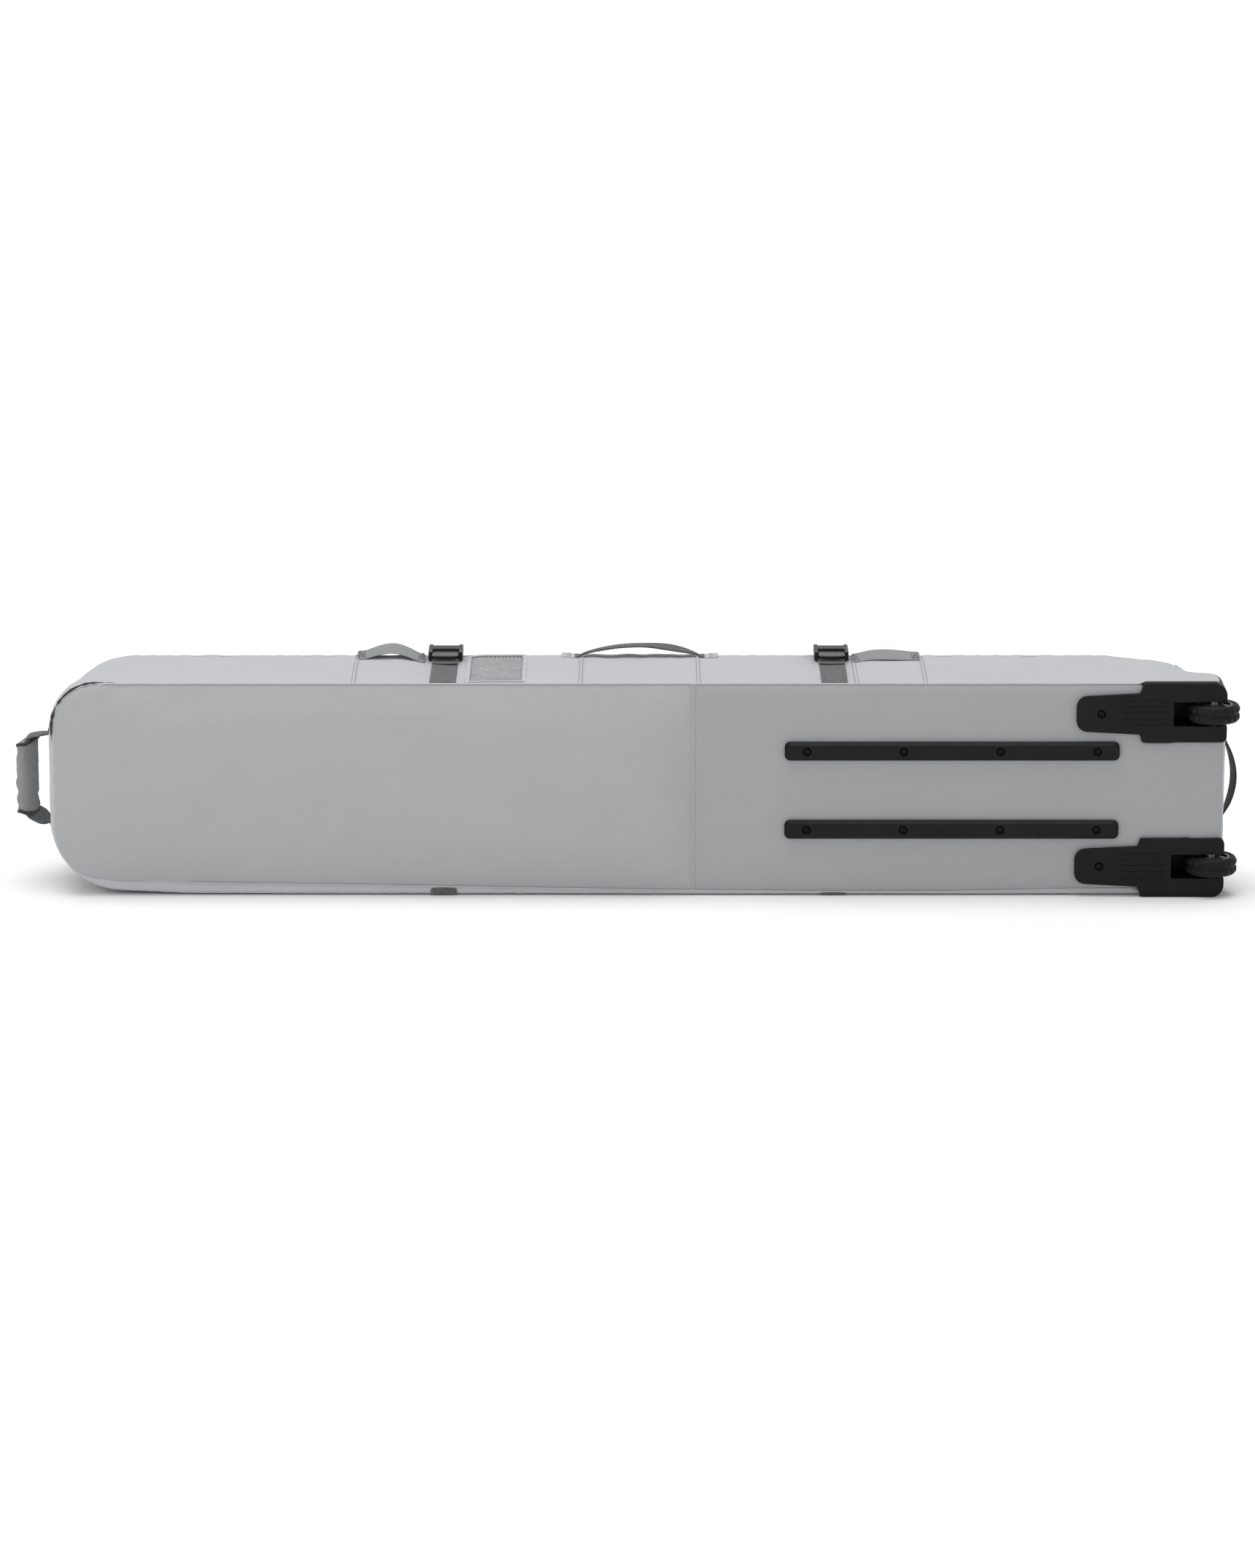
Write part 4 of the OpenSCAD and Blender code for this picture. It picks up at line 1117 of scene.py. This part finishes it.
def power_loop(n, r_x, r_y):
    """Rounded lens section: points with the cosine and sine of their turn."""
    return [(math.copysign(abs(c) ** 0.8, c) * r_x, math.copysign(abs(d) ** 0.75, d) * r_y, c, d)
            for c, d in turns(n)]


def make_nose_handle():
    """A webbing loop whose lower leg slants, turned a little where it meets its foot."""
    lo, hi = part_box("nose_handle")
    w_lo, w_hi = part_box("nose_handle_wrap")
    y = (lo.y + hi.y) / 2
    foot_x, grip_x = hi.x - FOOT, w_lo.x + 0.0098
    leg = (hi.z - lo.z) / 2 - FOOT
    corners = [(foot_x + 0.004, leg), (foot_x - 0.006, leg), (grip_x + 0.004, leg - 0.004),
               (grip_x, leg - 0.016), (grip_x, 0.026 - leg), (grip_x + 0.006, 0.013 - leg),
               (foot_x - 0.006, -leg), (foot_x + 0.004, -leg)]
    path = resample(rounded([Vector((x, y, Z_MID + z)) for x, z in corners], 0.012), 0.005)
    stations = []
    webbing = band(path, Y_AXIS, 0.031, 0.003, end_taper(0.45, 0.1))
    for k, (c, across, normal, w, thick) in enumerate(webbing):
        t = k / (len(path) - 1)
        along = across.cross(normal)
        turn = Matrix.Rotation(math.radians(38) * fade((t - 0.72) / 0.1) * fade((1.02 - t) / 0.06), 3, along)
        stations.append((c, turn @ across, turn @ normal, w, thick))
    ribbon("nose_handle_webbing", stations, "web", "nose_grip", "webbing", ("nose_handle",))
    make_nose_sleeve(w_lo, w_hi, y)
    make_end_anchors("nose", -1, foot_x, y)


def make_nose_sleeve(w_lo, w_hi, y):
    """Padded sleeve with a lens-shaped section, wrinkled on its inner face and bound at both ends."""
    n_z, n_a = 36, 28
    half = (w_hi.z - w_lo.z) / 2
    r_x, r_y = (w_hi.x - w_lo.x) / 2, (w_hi.y - w_lo.y) / 2
    mid_x = w_lo.x + 0.0142
    yaw = math.radians(33)

    def placed(px, py, z):
        """A point of the sleeve's section, turned about the handle; the ends slant with it."""
        x = px * math.cos(yaw) + py * math.sin(yaw)
        slant = 0.28 * fade((z - Z_MID) / half) - 0.12 * fade((Z_MID - z) / half)
        return Vector((mid_x + x, y - px * math.sin(yaw) + py * math.cos(yaw), z + slant * x))
    verts = []
    for t in steps(0, 1, n_z):
        z = lerp(Z_MID - half, Z_MID + half, t)
        pinch = 1 - 0.3 * math.exp(-min(t, 1 - t) / 0.05)
        bend = 0.0015 * math.sin(math.pi * t)
        for px, py, c, d in power_loop(n_a, r_x * pinch, r_y * (0.9 + 0.1 * pinch)):
            coarse = noise.noise(Vector((c * 1.6, d * 1.6 + t * 9, 2.0)))
            fine = noise.noise(Vector((c * 3, d * 3, t * 24)))
            crease = lerp(0.0028, 0.0012, t) * (coarse + 0.5 * fine)
            fold = 0.0016 * math.exp(-((py + 0.004) / 0.0025) ** 2) if c < 0.4 else 0
            verts.append(placed(px * 0.94 - bend + crease + fold, py + crease, z))
    piece = new_solid("nose_grip_sleeve", verts, skin(n_z + 1, n_a), "wrap", "nose_grip", "wrap_fabric",
                      ("nose_handle_wrap",))
    smoothed(piece)
    for side, z in (("low", Z_MID - half + 0.004), ("high", Z_MID + half - 0.004)):
        path = [placed(px, py, z + 0.0012 * math.sin(6 * math.pi * s / n_a))
                for s, (px, py, _, _) in enumerate(power_loop(n_a, r_x * 0.77, r_y * 0.99))]
        tube("nose_grip_binding_" + side, path, 0.0028, "dark", "nose_grip", "webbing", closed=True)
    reach = half - 0.006
    seam = [placed(-r_x * 0.5, -r_y * 0.62, z) for z in steps(Z_MID - reach, Z_MID + reach, 20)]
    tube("nose_grip_seam", seam, 0.0011, "dark", "nose_grip", "webbing")


def make_end_anchors(end, side, foot_x, y):
    """Webbing tabs that leave the end wall and turn into the handle's feet."""
    lo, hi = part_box(end + "_handle_anchors")
    wall = X_NOSE if side < 0 else X_TAIL
    tabs = []
    for sign in (-1, 1):
        z_foot = Z_MID + sign * ((hi.z - lo.z) / 2 - FOOT)
        path = [Vector((wall - side * 0.002, y, z_foot + sign * 0.004)),
                Vector((wall + side * 0.0015, y, z_foot + sign * 0.003)),
                Vector((foot_x, y, z_foot)), Vector((foot_x + side * 0.0005, y, z_foot - sign * 0.006))]
        path = resample(rounded(path, 0.004), 0.0025)
        tabs.append(band(path, Y_AXIS, 0.02, 0.003, lambda t: lerp(1, 0.45, fade(t))))
    ribbon(end + "_handle_tabs", tabs, "web", "bag", "webbing", (end + "_handle_anchors",))


def make_tail_handle():
    """A bowed, slightly twisted strap down the tail panel."""
    lo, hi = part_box("tail_handle")
    y = (lo.y + hi.y) / 2
    n = 36
    foot_x = lo.x + FOOT
    reach = hi.x + 0.0055 - foot_x
    path = []
    for t in steps(0, 1, n):
        x = foot_x - 0.001 + reach * max(math.sin(math.pi * t), 0) ** 0.85
        path.append(Vector((x, y, lerp(lo.z + 0.001, hi.z - 0.001, t))))
    twisted = []
    stations = band(path, Y_AXIS, 0.024, 0.0032, end_taper(0.3, 0.2))
    for k, (c, across, normal, w, thick) in enumerate(stations):
        turn = Matrix.Rotation(math.radians(14) * math.sin(math.pi * k / n), 3, across.cross(normal))
        twisted.append((c, turn @ across, turn @ normal, w, thick))
    ribbon("tail_handle_webbing", twisted, "dark", "tail_grip", "webbing", ("tail_handle",))
    make_end_anchors("tail", 1, foot_x, y)


# ---- vent, wheels, screws ----

def make_vent():
    """Light backing cloth under an open diamond mesh, with a bound edge."""
    x0, x1, y0, y1 = vent_lo.x, vent_hi.x, vent_lo.y, vent_hi.y
    pitch_x, pitch_y = 0.0056, 0.0150
    verts, faces, seen = [], [], {}

    def vertex(i, j):
        if (i, j) not in seen:
            x, y = x0 + i * pitch_x / 2, y0 + j * pitch_y / 2
            seen[i, j] = len(verts)
            verts.append(Vector((x, y, on_top(x, y) - 0.0004)))
        return seen[i, j]
    n_i, n_j = int((x1 - x0) / pitch_x * 2), int((y1 - y0) / pitch_y * 2)
    for i in range(0, n_i - 1):
        for j in range(1, n_j):
            if (i + j) % 2:
                faces.append([vertex(i, j), vertex(i + 1, j - 1), vertex(i + 2, j), vertex(i + 1, j + 1)])
    net = new_piece("vent_net", verts, faces, "mesh", "bag", "mesh", ("mesh_vent",))
    add_modifier(net, "WIREFRAME", thickness=0.0011, use_boundary=True)
    backing = Panel([[Vector((x, y, on_top(x, y) - 0.0026)) for y in steps(y0, y1, 16)]
                     for x in steps(x0, x1, 8)])
    finish_cloth(backing.make("vent_backing", "vent_cloth", "bag", "mesh"), 0.001)
    edges = (("left", X_AXIS, [(x0 + 0.002, y) for y in steps(y0, y1, 16)]),
             ("right", X_AXIS, [(x1 - 0.002, y) for y in steps(y0, y1, 16)]),
             ("front", Y_AXIS, [(x, y0 + 0.002) for x in steps(x0, x1, 12)]),
             ("back", Y_AXIS, [(x, y1 - 0.002) for x in steps(x0, x1, 12)]))
    for name, across, places in edges:
        path = [Vector((x, y, on_top(x, y) + 0.0003)) for x, y in places]
        ribbon("vent_edge_" + name, band(path, across, 0.006, 0.0009), "side", "bag", "side_fabric")


def make_wheel(side):
    """A tyre turned from its profile, with two rows of shoulder blocks and a groove between them."""
    lo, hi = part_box(side + "_tyre")
    centre = (lo + hi) / 2
    r, half = (hi.x - lo.x) / 2, (hi.z - lo.z) / 2
    rim = r - 0.010
    shoulder = 0.005
    profile = [(rim, -half + 0.001), (r - 0.006, -half)]
    profile += [(r - shoulder - 0.001 + shoulder * math.sin(a), -half + shoulder - shoulder * math.cos(a))
                for a in (math.radians(d) for d in (20, 45, 70))]
    tread_from = len(profile)
    blocks = (0.0006, 0.0032, 0.0035, 0.0075)
    profile += [(r - 0.0013, z) for z in [-z for z in reversed(blocks)] + list(blocks)]
    tread_to = len(profile)
    profile += [(p, -z) for p, z in reversed(profile[2:tread_from])]
    profile += [(r - 0.006, half), (rim, half - 0.001)]

    def tread(i, j):
        """How far a point of the profile stands out: a groove in the middle, staggered blocks beside it."""
        if not tread_from <= j < tread_to:
            return 0
        row = j - tread_from
        if row in (3, 4):
            return -0.0012
        shift = 0 if row < 4 else 4
        return 0.0013 if (i + shift + (row % 2)) % 8 < 5 else -0.0004
    segments = 160
    verts = []
    for i, (c, s) in enumerate(turns(segments)):
        for j, (radius, z) in enumerate(profile):
            lifted = radius + tread(i, j)
            verts.append(centre + Vector((lifted * c, lifted * s, z)))
    tyre = new_solid(side + "_tyre_tread", verts, skin(segments, len(profile), closed=True), "tyre",
                     side + "_wheel", "tyre", (side + "_tyre",))
    bevelled(tyre, 0.0003, 1, 40)
    make_hub(side, centre, rim, half)


def make_hub(side, centre, rim, half):
    """Rim, a ring round the bore and five spokes."""
    n = 64
    bore, face = 0.0112, half - 0.001
    verts, faces = [], []
    for r0, r1 in ((rim - 0.004, rim + 0.0002), (bore, bore + 0.0035)):
        faces += skin(4, n, len(verts), closed=True)
        for r, z in ((r0, -face), (r1, -face), (r1, face), (r0, face)):
            verts += [centre + Vector((r * c, r * s, z)) for c, s in turns(n)]
    for c, s in turns(5):
        out, beside = Vector((c, s, 0)), Vector((-s, c, 0))
        faces += skin(2, 4, len(verts))
        for r, w, z in ((bore + 0.002, 0.0052, face - 0.0012), (rim - 0.002, 0.0036, face - 0.003)):
            verts += [centre + out * r + beside * (w * u) + Z_AXIS * (z * v)
                      for u, v in ((-1, -1), (1, -1), (1, 1), (-1, 1))]
    hub = new_solid(side + "_hub_spokes", verts, faces, "hub", side + "_wheel", "hub_plastic",
                    (side + "_wheel_hub",), smooth=False)
    bevelled(hub, 0.0007, 2)


def make_screws():
    """Button heads with a hexagon socket."""
    n = 36
    verts, faces = [], []
    head_r, height = 0.0056, 0.0026
    socket_r, socket_depth = 0.0024, 0.0017
    rail_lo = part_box("upper_skid_rail")[0]
    tyre_lo, tyre_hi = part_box("upper_tyre")
    wheel_off = (tyre_lo.z + tyre_hi.z) / 2 - Z_MID
    rail_off, first_screw, screw_pitch = 0.058, 0.032, 0.14
    rail_seat, tongue_seat = Y_BASE - 0.0068, Y_BASE - 0.0038
    places = [(rail_lo.x + first_screw + screw_pitch * k, Z_MID + sign * rail_off, rail_seat)
              for k in range(4) for sign in (-1, 1)]
    places += [(block_lo.x + 0.036, Z_MID + sign * wheel_off, tongue_seat) for sign in (1, -1)]
    head = [(head_r * 0.96, 0.0), (head_r, 0.0004), (head_r * 0.93, 0.0015),
            (head_r * 0.72, height - 0.0003), (head_r * 0.56, height)]
    socket = [(socket_r, height - 0.0002), (socket_r * 0.94, height - socket_depth)]
    for x, z, seat in places:
        turn = draw.uniform(0, math.pi / 3)
        faces += skin(len(head + socket), n, len(verts))
        for r, up in head + socket:
            for k, (c, s) in enumerate(turns(n)):
                sector = (2 * math.pi * k / n + turn) % (math.pi / 3) - math.pi / 6
                hexagon = math.cos(math.pi / 6) / math.cos(sector) if (r, up) in socket else 1
                verts.append(Vector((x + r * hexagon * c, seat - up, z + r * hexagon * s)))
    piece = new_solid("screw_heads", verts, faces, "black_steel", "bag", "screw_steel", ("screws",))
    add_modifier(piece, "EDGE_SPLIT", split_angle=math.radians(40))


# ---- stage ----

def add_light(name, kind, energy, place, aim, **values):
    light = bpy.data.lights.new(name, kind)
    light.energy = energy
    for key, value in values.items():
        setattr(light, key, value)
    lamp = bpy.data.objects.new(name, light)
    lamp.location = place
    lamp.rotation_euler = (aim - place).to_track_quat("-Z", "Y").to_euler()
    scene.collection.objects.link(lamp)


def make_stage():
    """White floor in even light, with a soft sun above and a weak fill in front."""
    half = 40.0
    mesh = bpy.data.meshes.new("floor")
    corners = [(-half, -half, 0), (half, -half, 0), (half, half, 0), (-half, half, 0)]
    mesh.from_pydata(corners, [], [[0, 1, 2, 3]])
    floor = bpy.data.objects.new("floor", mesh)
    scene.collection.objects.link(floor)
    mat, tree, shader, coords = new_material("floor_paper", (0.92, 0.92, 0.92), 0.9)
    shader.inputs["Specular IOR Level"].default_value = 0.0
    mottled(tree, shader, coords, (0.92, 0.92, 0.92), 0.004, fine=30, coarse=2)
    mesh.materials.append(mat)
    world = bpy.data.worlds.new("studio")
    scene.world = world
    world.use_nodes = True
    world.node_tree.nodes["Background"].inputs["Color"].default_value = (1, 1, 1, 1)
    world.node_tree.nodes["Background"].inputs["Strength"].default_value = 0.62
    add_light("top_softbox", "SUN", 1.66, Vector((0, 0, 0)), Vector((0.06, 0.02, -1)),
              angle=math.radians(44))
    add_light("front_fill", "AREA", 5, Vector((-0.75, -1.9, 0.9)), Vector((-0.4, 0, 0.16)), size=1.0)


def make_camera():
    """A long lens, square to the base and a little above it."""
    distance, elevation = 9.0, math.radians(12.8)
    visible_height = 2.27
    sensor = 36.0
    aim = Vector((0.0024, Y_BASE, 0.167))
    data = bpy.data.cameras.new("camera")
    data.sensor_width = sensor
    data.lens = sensor * distance / visible_height
    data.clip_end = 200
    camera = bpy.data.objects.new("camera", data)
    camera.location = aim + Vector((0, -math.cos(elevation), math.sin(elevation))) * distance
    camera.rotation_euler = (aim - camera.location).to_track_quat("-Z", "Y").to_euler()
    scene.collection.objects.link(camera)
    scene.camera = camera


make_camera()
make_stage()
scene.view_settings.view_transform = "Standard"

make_base()
ring = make_ring()
ring_piece = ring.make("side_wall_cloth", "side", "bag", "side_fabric",
                       ("upper_gusset", "lower_gusset", "nose_gusset", "tail_panel"))
billow(ring, ring_held, 1.2, 0.003, 0.0035)
finish_cloth(ring_piece)
make_body_seams(ring)
make_tail_edge(ring)
make_tail_deck()
make_border()
make_lid()
zip_half("frame_zip", 0.0005, -0.012, "bag", "frame_zip_half")
zip_half("lid_zip", 0.0029, 0.0154, "lid", "lid_zip_half")
PAD_GAP = 0.002
pad_lo = board_lo + Vector((PAD_GAP, 0.0045, PAD_GAP))
pad_hi = board_hi - Vector((PAD_GAP, 0, PAD_GAP))
quilted("base_pad", pad_lo, pad_hi, 1, between_housings(pad_lo, pad_hi, R_NOSE - 0.01), "bag", "foam",
        "base_foam")
quilted("lid_pad", lid_foam_lo, lid_foam_hi, -1, pad_span(lid_foam_lo, lid_foam_hi, R_OPEN - 0.016), "lid",
        "foam", "lid_foam")
for end in ("nose", "tail"):
    make_straps(end)
    make_tab_handle(end)
make_carry_handle()
make_nose_handle()
make_tail_handle()
make_vent()
make_screws()
for side in ("upper", "lower"):
    make_wheel(side)
    polish(side + "_housing", "housing", 0.0022, 3)
    polish(side + "_skid_rail", "rail", 0.0012, 2)
    polish(side + "_axle", "steel", 0.0004)
    polish(side + "_axle_sleeves", "steel", 0.0003)
    polish(side + "_bearings", "steel", 0.0003)
for letter in "ab":
    polish("zip_slider_" + letter, "black_steel", 0.0004)
    polish("zip_pull_" + letter, "plastic", 0.0005)
polish("screw_washers", "steel", 0.0003)
